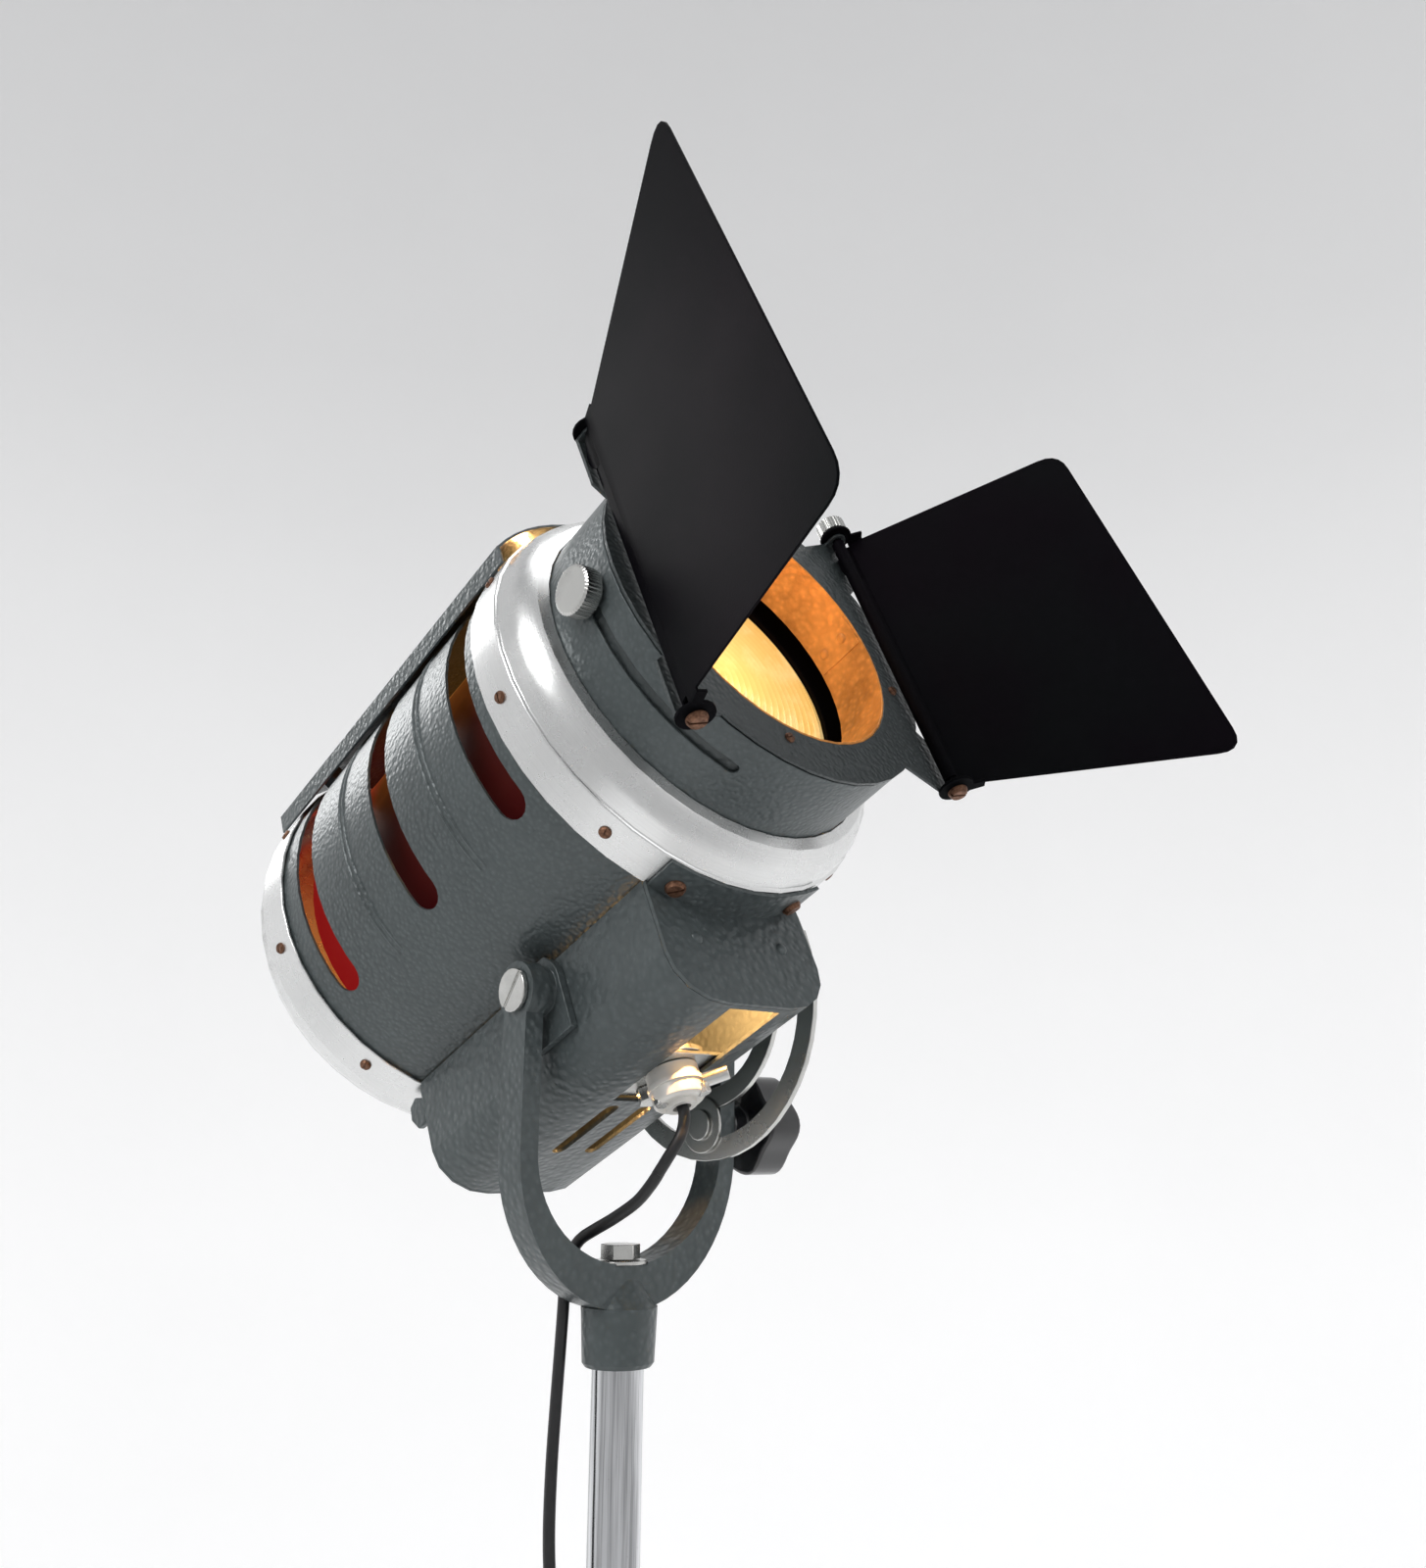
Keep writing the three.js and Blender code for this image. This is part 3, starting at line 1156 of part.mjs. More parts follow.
const head = new THREE.Group();
head.position.z = TILT_HEIGHT;
head.rotation.x = -tilt;
const lugReach = BOX_HALF + GAP + LUG_WALL;
head.add(
  piece("drum_shell", drumShell(), hammeredGrey),
  piece("inner_baffle", baffle(), heatedSteel),
  piece("rear_cap", rearCap(), spunAluminium),
  piece("front_bezel", frontBezel(), spunAluminium),
  piece("nose_ring", noseRing(), hammeredGrey),
  piece("lens", lens(), paleGlass),
  piece("lens_ring", lensRing(), brightSteel),
  piece("hood", hood(), hammeredGrey),
  piece("box_body", boxBody(), hammeredGrey),
  piece("box_front_cap", boxFrontCap(), hammeredGrey),
  piece("box_rear_plate", boxRearPlate(), hammeredGrey),
  piece("rear_catch", rearCatch(), hammeredGrey),
  piece("left_lug", lug(-1, lugReach, YOKE_INNER - GAP), hammeredGrey),
  piece("right_lug", lug(1, BOX_HALF + GAP + RIGHT_LUG_WALL, quadrantIn - GAP), hammeredGrey),
  piece("quadrant", quadrant(), brightSteel),
  piece("quadrant_spacer_front", spacer(SPACER_AT), brightSteel),
  piece("quadrant_spacer_rear", spacer(-SPACER_AT), brightSteel),
  piece("lamp_carriage", lampCarriage(), brightSteel),
  piece("lamp_socket", lampSocket(), ceramic),
  piece("lamp_post", lampPost(), brightSteel),
  piece("lamp_holder", lampHolder(), ceramic),
  piece("bulb", bulb(), paleGlass),
  piece("reflector", reflector(), chrome),
  piece("reflector_bracket", reflectorBracket(), brightSteel),
  piece("focus_nut", focusNut(), brightSteel),
  piece("cord_clamp_screw", cordClamp(), brightSteel),
  piece("door_plate", doorPlate(), hammeredGrey),
  piece("light_collar", lightCollar(), rustyBrass),
  piece("ring_knob", ringKnob(), brightSteel),
  piece("left_hinge_rod", hingeRod(-1), doorBlack),
  piece("right_hinge_rod", hingeRod(1), doorBlack),
  piece("left_hinge_screw", hingeScrew(-1), rustyBrass),
  piece("right_hinge_screw", hingeScrew(1), rustyBrass),
  piece("right_hinge_nut", hingeNut(), brightSteel),
);

HOOD_STAY_PLACES.forEach((back, i) => {
  for (const side of [-1, 1]) {
    const name = "hood_stay_" + ["rear", "front"][i] + (side > 0 ? "_left" : "_right");
    head.add(piece(name, hoodStay(180 - side * HOOD_STAY_ANGLE, back), hammeredGrey));
  }
});

for (const [name, side, open] of [["left_leaf", -1, LEFT_LEAF_OPEN], ["right_leaf", 1, RIGHT_LEAF_OPEN]]) {
  const hinge = new THREE.Group();
  hinge.position.set(side * HINGE_OUT, -hingeForward, AXIS_RISE);
  hinge.rotation.z = side > 0 ? -rad(open) : Math.PI + rad(open);
  hinge.add(piece(name, leaf(side), doorBlack));
  head.add(hinge);
}

spotlight.add(stand, fork, head);

export default spotlight;
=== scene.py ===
import json
import math

import bmesh
import bpy
from bpy.props import (
    FloatProperty,
    FloatVectorProperty,
    IntProperty,
    PointerProperty,
)
from mathutils import Matrix, Vector

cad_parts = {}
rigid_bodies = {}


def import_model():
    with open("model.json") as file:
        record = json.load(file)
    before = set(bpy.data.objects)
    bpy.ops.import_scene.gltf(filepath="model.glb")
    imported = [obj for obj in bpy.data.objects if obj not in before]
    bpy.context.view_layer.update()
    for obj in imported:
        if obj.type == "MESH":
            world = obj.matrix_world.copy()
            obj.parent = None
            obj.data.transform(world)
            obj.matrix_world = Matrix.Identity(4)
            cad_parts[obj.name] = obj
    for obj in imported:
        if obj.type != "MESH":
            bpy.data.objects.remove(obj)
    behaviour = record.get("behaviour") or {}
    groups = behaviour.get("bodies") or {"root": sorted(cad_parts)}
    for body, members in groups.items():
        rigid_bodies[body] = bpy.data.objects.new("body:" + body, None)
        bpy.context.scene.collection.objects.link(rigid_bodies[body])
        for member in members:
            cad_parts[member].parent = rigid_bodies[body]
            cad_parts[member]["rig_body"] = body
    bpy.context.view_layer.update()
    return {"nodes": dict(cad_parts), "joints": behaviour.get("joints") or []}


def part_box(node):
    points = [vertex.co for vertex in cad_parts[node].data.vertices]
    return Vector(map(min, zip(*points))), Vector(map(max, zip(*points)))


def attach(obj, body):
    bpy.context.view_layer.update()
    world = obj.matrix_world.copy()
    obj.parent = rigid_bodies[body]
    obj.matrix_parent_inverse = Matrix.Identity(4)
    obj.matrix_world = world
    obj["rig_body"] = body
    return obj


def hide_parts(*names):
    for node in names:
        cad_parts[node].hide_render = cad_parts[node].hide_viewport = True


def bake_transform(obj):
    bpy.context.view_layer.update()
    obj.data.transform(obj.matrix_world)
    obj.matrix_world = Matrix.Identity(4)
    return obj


bl_info = {
    "name": "Fresnel spotlight with barn doors",
    "version": (1, 0, 0),
    "blender": (4, 5, 0),
    "location": "View3D > Sidebar > Spotlight",
    "description": "Builds the finished pieces of a focusing spotlight around its CAD frame",
    "category": "Object",
}

# ---- the frame ----------------------------------------------------------------------------------
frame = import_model()
nodes = frame["nodes"]
joints = {joint["name"]: joint for joint in frame["joints"]}

TILT_AXIS = Vector(joints["tilt"]["pos_m"])
FORWARD = Vector(joints["ring_turn"]["axis"]).normalized()
HEAD_UP = Vector((0, FORWARD.z, -FORWARD.y))
HEAD = Matrix.Translation(TILT_AXIS) @ Matrix.Rotation(-math.atan2(FORWARD.z, -FORWARD.y), 4, "X")
OPTICAL_RISE = (Vector(joints["ring_turn"]["pos_m"]) - TILT_AXIS).dot(HEAD_UP)
MM = 0.001


def in_head(x, forward, height):
    """A place given from the tilt axis along the lamp's own directions."""
    return HEAD @ Vector((x, -forward, height))


def head_span(node):
    """The lowest and highest corner of a CAD node in the lamp's own directions (x, forward, height)."""
    inverse = HEAD.inverted()
    places = [inverse @ vertex.co for vertex in nodes[node].data.vertices]
    places = [(p.x, -p.y, p.z) for p in places]
    return Vector(map(min, zip(*places))), Vector(map(max, zip(*places)))


def round_about_axis(radius, forward, angle):
    """A place on a drum about the optical axis, angle degrees round from its lowest line to the left."""
    turn = math.radians(angle)
    return in_head(-radius * math.sin(turn), forward, OPTICAL_RISE - radius * math.cos(turn))


# ---- node materials -----------------------------------------------------------------------------
class NodeTree:
    """A short way to write a material's nodes."""

    def __init__(self, name):
        self.material = bpy.data.materials.new(name)
        self.material.use_nodes = True
        self.tree = self.material.node_tree
        self.shader = self.tree.nodes["Principled BSDF"]

    def add(self, kind, **inputs):
        node = self.tree.nodes.new(kind)
        for key, value in inputs.items():
            self.feed(node, key, value)
        return node

    def feed(self, node, key, value):
        socket = node.inputs[key.replace("_", " ")] if isinstance(key, str) else node.inputs[key]
        if isinstance(value, bpy.types.NodeSocket):
            self.tree.links.new(value, socket)
        else:
            socket.default_value = value

    def head_coordinates(self):
        """Object coordinates turned into the lamp's own directions, with the optical axis at the origin."""
        source = self.add("ShaderNodeTexCoord")
        mapping = self.add("ShaderNodeMapping", Vector=source.outputs["Object"])
        turn = (HEAD @ Matrix.Translation((0, 0, OPTICAL_RISE))).inverted()
        mapping.vector_type = "POINT"
        mapping.inputs["Location"].default_value = turn.to_translation()
        mapping.inputs["Rotation"].default_value = turn.to_euler()
        return mapping.outputs["Vector"]

    def noise(self, scale, detail=3.0, roughness=0.5, vector=None):
        node = self.add("ShaderNodeTexNoise", Scale=scale, Detail=detail, Roughness=roughness)
        self.feed(node, "Vector", vector or self.plain_coordinates())
        return node.outputs["Fac"]

    def plain_coordinates(self):
        return self.add("ShaderNodeTexCoord").outputs["Object"]

    def ramp(self, factor, stops):
        node = self.add("ShaderNodeValToRGB", Fac=factor)
        points = node.color_ramp.elements
        while len(points) < len(stops):
            points.new(0.5)
        for point, (position, colour) in zip(points, stops):
            point.position = position
            point.color = (*colour, 1) if len(colour) == 3 else colour
        return node.outputs["Color"]

    def grey_ramp(self, factor, stops):
        return self.ramp(factor, [(position, (value,) * 3) for position, value in stops])

    def blend(self, factor, first, second):
        node = self.tree.nodes.new("ShaderNodeMix")
        node.data_type = "RGBA"
        self.feed(node, 0, factor)
        self.feed(node, 6, first)
        self.feed(node, 7, second)
        return node.outputs[2]

    def mottled(self, pattern, low, high, first, second, most=1.0):
        """The first colour where the pattern is under one level, passing to the second over another."""
        return self.blend(self.grey_ramp(pattern, [(low, 0.0), (high, most)]), first, second)

    def squared_radius(self, split):
        """The square of the distance from the optical axis, from split head coordinates."""
        across = self.maths("POWER", split.outputs["X"], 2.0)
        upright = self.maths("POWER", split.outputs["Z"], 2.0)
        return self.maths("ADD", across, upright)

    def maths(self, operation, first, second=0.0):
        node = self.tree.nodes.new("ShaderNodeMath")
        node.operation = operation
        self.feed(node, 0, first)
        self.feed(node, 1, second)
        return node.outputs[0]

    def bump(self, height, distance, strength=1.0, under=None):
        node = self.add("ShaderNodeBump", Height=height, Distance=distance, Strength=strength)
        if under is not None:
            self.feed(node, "Normal", under)
        return node.outputs["Normal"]

    def glow(self, colour, strength):
        self.feed(self.shader, "Emission_Color", colour)
        self.feed(self.shader, "Emission_Strength", strength)

    def finish(self, **inputs):
        for key, value in inputs.items():
            self.feed(self.shader, key, value)
        return self.material


def rgba(colour):
    return (*colour, 1)


def shade(colour, amount):
    return rgba([min(1.0, channel * amount) for channel in colour])


BARE_METAL = (0.3, 0.32, 0.315, 1)
FADED_BLACK = (0.0036, 0.0048, 0.0052, 1)
SCUFFED_BLACK = (0.014, 0.0145, 0.016, 1)
DUST = (0.2, 0.19, 0.18, 1)
PAPER_GLOW = 0.54


def hammered_enamel(name, colour, grain=1.0):
    """Wrinkle enamel: a pebbled skin with a painted highlight on the pebbles' crests, faintly patchy, with a
    few chips.
    """
    made = NodeTree(name)
    patches = made.noise(16, 4, 0.55)
    pebbles = made.add("ShaderNodeTexVoronoi", Scale=430 / grain, Vector=made.plain_coordinates())
    pebbles.feature = "SMOOTH_F1"
    paint = made.mottled(patches, 0.3, 0.7, shade(colour, 0.86), shade(colour, 1.1))
    # painted highlight: the crests of the pebbles are painted lighter
    painted_highlight = made.grey_ramp(pebbles.outputs["Distance"], [(0.1, 0.55), (0.5, 0.0)])
    paint = made.blend(painted_highlight, paint, shade(colour, 1.4))
    rubs = made.noise(75, 6, 0.78)
    paint = made.mottled(rubs, 0.62, 0.74, paint, shade(colour, 1.8), 0.4)
    chips = made.noise(95, 6, 0.8)
    paint = made.mottled(chips, 0.72, 0.76, paint, BARE_METAL, 0.8)
    normal = made.bump(made.noise(1500, 2), 0.00008, 0.35)
    normal = made.bump(pebbles.outputs["Distance"], 0.0005 * grain, 0.9, normal)
    gloss = made.grey_ramp(patches, [(0.2, 0.3), (0.8, 0.42)])
    return made.finish(Base_Color=paint, Metallic=0.2, Roughness=gloss, Normal=normal)


def turned_metal(name, colour, roughness=0.3, lines=900):
    """Spun or turned metal with fine rings about the optical axis, a few stains and handling marks."""
    made = NodeTree(name)
    coordinates = made.head_coordinates()
    split = made.add("ShaderNodeSeparateXYZ", Vector=coordinates)
    radius = made.maths("SQRT", made.squared_radius(split))
    along = made.maths("ADD", radius, split.outputs["Y"])
    track = made.add("ShaderNodeCombineXYZ", X=along)
    grooves = made.noise(lines, 2, 0.7, track.outputs["Vector"])
    stains = made.noise(18, 5, 0.62)
    smears = made.noise(70, 4, 0.6)
    tone = made.mottled(stains, 0.35, 0.8, shade(colour, 1.04), shade(colour, 0.93))
    tone = made.mottled(grooves, 0.3, 0.75, tone, shade(colour, 0.7), 0.3)
    rough = made.maths("ADD", made.maths("MULTIPLY", smears, 0.12), roughness - 0.06)
    normal = made.bump(grooves, 0.00008, 0.5)
    return made.finish(Base_Color=tone, Metallic=0.92, Roughness=rough, Normal=normal)


def matt_black(name, colour, roughness=0.5):
    """Heat-proof matt black with soft scuffs, dust and a fine tooth."""
    made = NodeTree(name)
    cloud = made.noise(7, 5, 0.55)
    scuffs = made.noise(60, 6, 0.75)
    paint = made.mottled(cloud, 0.35, 0.7, rgba(colour), FADED_BLACK)
    paint = made.mottled(scuffs, 0.66, 0.8, paint, SCUFFED_BLACK, 0.25)
    rough = made.maths("ADD", made.maths("MULTIPLY", cloud, 0.22), roughness - 0.1)
    normal = made.bump(made.noise(1300, 2), 0.0001, 0.45)
    return made.finish(Base_Color=paint, Roughness=rough, Specular_IOR_Level=0.025, Normal=normal)


def bright_metal(name, colour, roughness=0.22, dull=0.35):
    """Plated steel, dulled in patches, with fine scratches."""
    made = NodeTree(name)
    patches = made.noise(45, 5, 0.65)
    stretched = made.add("ShaderNodeMapping", Vector=made.plain_coordinates())
    stretched.inputs["Scale"].default_value = (1.0, 1.0, 14.0)
    scratches = made.noise(260, 4, 0.8, stretched.outputs["Vector"])
    tone = made.mottled(patches, 0.45, 0.7, rgba(colour), shade(colour, 0.45), dull)
    rough = made.maths("ADD", made.maths("MULTIPLY", patches, 0.25), roughness - 0.1)
    normal = made.bump(scratches, 0.00005, 0.4)
    return made.finish(Base_Color=tone, Metallic=1.0, Roughness=rough, Normal=normal)


def pitted_chrome(name, colour):
    """Old chrome on the tube: streaked along its length, partly worn chrome and partly painted dark
    reflection lines, with fine dark pits.
    """
    made = NodeTree(name)
    along = made.add("ShaderNodeMapping", Vector=made.plain_coordinates())
    along.inputs["Scale"].default_value = (1.0, 1.0, 0.02)
    streaks_and_painted_reflection = made.noise(260, 4, 0.7, along.outputs["Vector"])
    # painted reflection: the streaked darkening of the colour partly stands in for dark reflection lines
    tone = made.mottled(streaks_and_painted_reflection, 0.4, 0.6, rgba(colour), shade(colour, 0.3), 0.8)
    pits = made.noise(320, 5, 0.8)
    tone = made.mottled(pits, 0.66, 0.72, tone, shade(colour, 0.15), 0.85)
    rough = made.grey_ramp(streaks_and_painted_reflection, [(0.3, 0.08), (0.7, 0.2)])
    normal = made.bump(streaks_and_painted_reflection, 0.0001, 0.4)
    return made.finish(Base_Color=tone, Metallic=1.0, Roughness=rough, Normal=normal)


def polished_black(name, colour):
    """Moulded bakelite with a faint orange-peel and dust in the hollows."""
    made = NodeTree(name)
    peel = made.noise(160, 2)
    dust = made.noise(35, 5, 0.7)
    tone = made.mottled(dust, 0.5, 0.85, rgba(colour), DUST, 0.12)
    rough = made.grey_ramp(made.noise(60, 3), [(0.3, 0.1), (0.8, 0.28)])
    normal = made.bump(peel, 0.0001, 0.3)
    return made.finish(Base_Color=tone, Roughness=rough, Coat_Weight=0.5, Normal=normal)


def soft_rubber(name, colour):
    """Rubber flex with a slight bloom."""
    made = NodeTree(name)
    bloom = made.noise(120, 4, 0.6)
    tone = made.mottled(bloom, 0.4, 0.8, rgba(colour), shade(colour, 2.4), 0.5)
    normal = made.bump(made.noise(900, 2), 0.00008, 0.4)
    return made.finish(Base_Color=tone, Roughness=0.42, Normal=normal)


def tarnished_brass(name, colour):
    """Old screw heads: brown tarnish with brighter rubbed spots."""
    made = NodeTree(name)
    crust = made.noise(420, 5, 0.7)
    tone = made.mottled(crust, 0.4, 0.65, shade(colour, 0.55), shade(colour, 1.3))
    rough = made.grey_ramp(crust, [(0.3, 0.65), (0.8, 0.35)])
    normal = made.bump(crust, 0.0002, 0.6)
    return made.finish(Base_Color=tone, Metallic=0.75, Roughness=rough, Normal=normal)


def lit_lens(name, colour, glow, pitch):
    """The pressed lens with the lamp burning behind it, painted as a glow: pale yellow, with painted shade in
    each ring's groove.
    """
    made = NodeTree(name)
    split = made.add("ShaderNodeSeparateXYZ", Vector=made.head_coordinates())
    radius = made.maths("SQRT", made.squared_radius(split))
    ring = made.maths("FRACT", made.maths("DIVIDE", radius, pitch))
    swirl = made.noise(55, 5, 0.65)
    warm = made.ramp(made.maths("MULTIPLY", radius, 10.0), [
        (0.0, (1.0, 0.86, 0.46)), (0.45, (1.0, 0.78, 0.34)), (0.76, (0.9, 0.55, 0.16))])
    light = made.blend(made.grey_ramp(ring, [(0.0, 0.85), (0.3, 0.1), (0.75, 0.0), (1.0, 0.6)]),
                       warm, (0.62, 0.34, 0.07, 1))
    light = made.mottled(swirl, 0.45, 0.75, light, (1.0, 0.9, 0.56, 1), 0.5)
    # painted light: the lens glows though it is no lamp
    made.glow(light, glow)
    return made.finish(Base_Color=rgba(colour), Roughness=0.15, Coat_Weight=0.3)


def inner_sheet(name, low, high, glow):
    """The inner sheet: dull red low down and painted lit orange towards the top, where lamp light spills past
    it, both in its colour and as a painted glow, with a painted red glow towards the rear.
    """
    made = NodeTree(name)
    split = made.add("ShaderNodeSeparateXYZ", Vector=made.head_coordinates())
    patches = made.noise(34, 5, 0.65)
    height = made.maths("ADD", made.maths("MULTIPLY", split.outputs["Z"], 5.0), 0.38)
    wavering = made.maths("ADD", height, made.maths("MULTIPLY", patches, 0.2))
    rearward = made.grey_ramp(made.maths("MULTIPLY", split.outputs["Y"], 6.0), [(0.3, 0.0), (0.5, 1.0)])
    # the top colour is painted light: orange where the lamp's light falls
    colour = made.ramp(wavering, [(0.2, low), (0.6, (0.05, 0.008, 0.005)), (0.8, high)])
    light = made.ramp(wavering, [(0.25, (0.035, 0.001, 0.002)), (0.5, (0.02, 0.003, 0.001)),
                                 (0.72, (0.22, 0.06, 0.01)), (0.9, (1.0, 0.42, 0.09))])
    # painted light: a red glow towards the rear
    light = made.blend(rearward, light, (0.5, 0.012, 0.014, 1))
    normal = made.bump(made.noise(300, 3), 0.0002, 0.4)
    made.glow(light, glow)
    return made.finish(Base_Color=colour, Roughness=0.45, Normal=normal)


def collar_with_painted_glow(name, colour, glow):
    """The collar round the beam: hammered sheet that the lamp lights to a mottled golden tone, painted into
    its colour and as a painted glow, with a painted highlight on the dimples' crests.
    """
    made = NodeTree(name)
    dimples = made.add("ShaderNodeTexVoronoi", Scale=300.0, Vector=made.plain_coordinates())
    dimples.feature = "SMOOTH_F1"
    patches = made.noise(34, 5, 0.65)
    tone = made.mottled(patches, 0.4, 0.7, rgba(colour), shade(colour, 0.4), 0.8)
    light = made.mottled(patches, 0.35, 0.7, shade(colour, 0.8), shade(colour, 0.3))
    painted_highlight = made.grey_ramp(dimples.outputs["Distance"], [(0.15, 0.6), (0.5, 0.0)])
    light = made.blend(painted_highlight, light, shade(colour, 1.5))
    normal = made.bump(dimples.outputs["Distance"], 0.0006, 0.9)
    # painted light: the collar glows though it is no lamp
    made.glow(light, glow)
    return made.finish(Base_Color=tone, Metallic=0.5, Roughness=0.42, Normal=normal)


def pale_casting(name, colour):
    """Die-cast socket metal with a chalky skin and scorch marks."""
    made = NodeTree(name)
    scorch = made.noise(80, 5, 0.7)
    tone = made.mottled(scorch, 0.5, 0.8, rgba(colour), shade(colour, 0.5), 0.7)
    normal = made.bump(scorch, 0.0003, 0.5)
    return made.finish(Base_Color=tone, Metallic=0.35, Roughness=0.45, Normal=normal)


def studio_paper(name, colour):
    """Plain pale paper with a painted glow: lit from behind on the far side, left dim behind the camera and
    dimmer higher up.
    """
    made = NodeTree(name)
    mottle = made.noise(1.6, 4)
    tone = made.mottled(mottle, 0.3, 0.7, shade(colour, 0.985), rgba(colour))
    split = made.add("ShaderNodeSeparateXYZ", Vector=made.plain_coordinates())
    away = made.maths("ADD", split.outputs["X"], split.outputs["Y"])
    side = made.maths("ADD", made.maths("MULTIPLY", away, 0.12), 0.5)
    light = made.grey_ramp(side, [(0.25, 0.0), (0.62, 1.0)])
    height = made.maths("ADD", made.maths("MULTIPLY", split.outputs["Z"], 0.2), 0.25)
    light = made.maths("MULTIPLY", light, made.grey_ramp(height, [(0.1, 1.0), (0.8, 0.5)]))
    light = made.blend(light, (0, 0, 0, 1), tone)
    made.glow(light, PAPER_GLOW)
    return made.finish(Base_Color=tone, Roughness=0.9)


# ---- mesh helpers -------------------------------------------------------------------------------
WELD = 2e-6  # metres between two corners that are one
FLAT = math.radians(0.4)  # faces that meet under this angle are one flat


def settle(mesh, name, look, body, sharp=35.0):
    """Turns a finished bmesh into a smooth-shaded piece in one of the finishes, riding on a body."""
    bmesh.ops.recalc_face_normals(mesh, faces=mesh.faces)
    data = bpy.data.meshes.new(name)
    mesh.to_mesh(data)
    mesh.free()
    data.polygons.foreach_set("use_smooth", [True] * len(data.polygons))
    data.set_sharp_from_angle(angle=math.radians(sharp))
    data.materials.append(finish(look))
    piece = bpy.data.objects.new(name, data)
    bpy.context.scene.collection.objects.link(piece)
    if body:
        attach(piece, body)
    return piece


def soften_edges(piece, width, segments=2, angle=32.0):
    bevel = piece.modifiers.new("soft edges", "BEVEL")
    bevel.width = width
    bevel.segments = segments
    bevel.limit_method = "ANGLE"
    bevel.angle_limit = math.radians(angle)
    bevel.harden_normals = False
    return piece


def refined(node, look, edge=0.4 * MM, segments=2):
    """A finished copy of a CAD node: welded, its flats merged, its edges softened, and shaded smooth."""
    mesh = bmesh.new()
    mesh.from_mesh(nodes[node].data)
    bmesh.ops.remove_doubles(mesh, verts=mesh.verts, dist=WELD)
    bmesh.ops.dissolve_limit(
        mesh, angle_limit=FLAT, verts=mesh.verts, edges=mesh.edges, delimit={"NORMAL"}
    )
    piece = settle(mesh, node + "_finished", look, nodes[node]["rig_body"])
    if edge:
        soften_edges(piece, edge, segments)
    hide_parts(node)
    return piece


def skin(mesh, rows):
    """Joins rows of vertices, each a closed outline, and caps the first and the last."""
    count = len(rows[0])
    for here, there in zip(rows, rows[1:]):
        for i in range(count):
            j = (i + 1) % count
            mesh.faces.new((here[i], here[j], there[j], there[i]))
    mesh.faces.new(rows[0][::-1])
    mesh.faces.new(rows[-1])


def arc(radius, start, sweep, steps):
    """Pairs (x, y) along an arc, from a start angle through a sweep, in degrees."""
    pairs = []
    for step in range(steps + 1):
        turn = math.radians(start + sweep * step / steps)
        pairs.append((radius * math.cos(turn), radius * math.sin(turn)))
    return pairs


def revolve(mesh, profile, matrix, segments=64):
    """Adds a closed ring of (radius, height) pairs turned about the matrix's own Z."""
    rows = []
    for step in range(segments):
        turn = 2 * math.pi * step / segments
        rows.append([
            mesh.verts.new(matrix @ Vector((r * math.cos(turn), r * math.sin(turn), h))) for r, h in profile
        ])
    count = len(profile)
    for step in range(segments):
        here, there = rows[step], rows[(step + 1) % segments]
        for i in range(count):
            j = (i + 1) % count
            mesh.faces.new((here[i], there[i], there[j], here[j]))


def solid_of_revolution(mesh, profile, matrix, segments=24):
    """Adds a solid whose profile starts and ends on the matrix's own Z."""
    first = mesh.verts.new(matrix @ Vector((0, 0, profile[0][1])))
    last = mesh.verts.new(matrix @ Vector((0, 0, profile[-1][1])))
    rows = []
    for r, h in profile[1:-1]:
        rows.append([
            mesh.verts.new(matrix @ Vector((r * math.cos(2 * math.pi * s / segments),
                                            r * math.sin(2 * math.pi * s / segments), h)))
            for s in range(segments)
        ])
    for s in range(segments):
        n = (s + 1) % segments
        mesh.faces.new((first, rows[0][n], rows[0][s]))
        for low, high in zip(rows, rows[1:]):
            mesh.faces.new((low[s], low[n], high[n], high[s]))
        mesh.faces.new((last, rows[-1][s], rows[-1][n]))


def prism(mesh, outline, low, high, matrix):
    """Adds a flat outline of (x, y) pairs raised from low to high along the matrix's own Z."""
    bottom = [mesh.verts.new(matrix @ Vector((x, y, low))) for x, y in outline]
    top = [mesh.verts.new(matrix @ Vector((x, y, high))) for x, y in outline]
    skin(mesh, [bottom, top])


def standing_on(place, outward, turn=0.0):
    """A matrix at a place whose Z points outward, turned about it by some degrees."""
    facing = Vector(outward).normalized().to_track_quat("Z", "Y").to_matrix().to_4x4()
    return Matrix.Translation(place) @ facing @ Matrix.Rotation(math.radians(turn), 4, "Z")


def slotted_head(mesh, radius, height, matrix, slot=0.22, segments=20):
    """Adds a low domed screw head: a round seat with a half crown on each side of the driver slot."""
    floor = height * 0.45
    seat = [(0, 0), (radius, 0), (radius, floor * 0.8), (radius * 0.97, floor), (0, floor)]
    solid_of_revolution(mesh, seat, matrix, segments)
    half = radius * slot / 2
    rim = radius * 0.96
    taper = 0.82
    start = math.degrees(math.asin(half / rim))
    for side, spread in ((0, half), (180, -half)):
        outline = arc(rim, start + side, 180 - 2 * start, 8)
        crown = [(x * taper, y * taper + spread * (1 - taper)) for x, y in outline]
        low = [mesh.verts.new(matrix @ Vector((x, y, floor * 0.9))) for x, y in outline]
        high = [mesh.verts.new(matrix @ Vector((x, y, height))) for x, y in crown]
        skin(mesh, [low, high])


def domed_rivet(mesh, radius, height, matrix, segments=16):
    profile = [(0, 0), (radius, 0)]
    for step in range(1, 5):
        turn = math.pi / 2 * step / 4
        profile.append((radius * math.cos(turn), height * math.sin(turn)))
    profile[-1] = (0, height)
    solid_of_revolution(mesh, profile, matrix, segments)


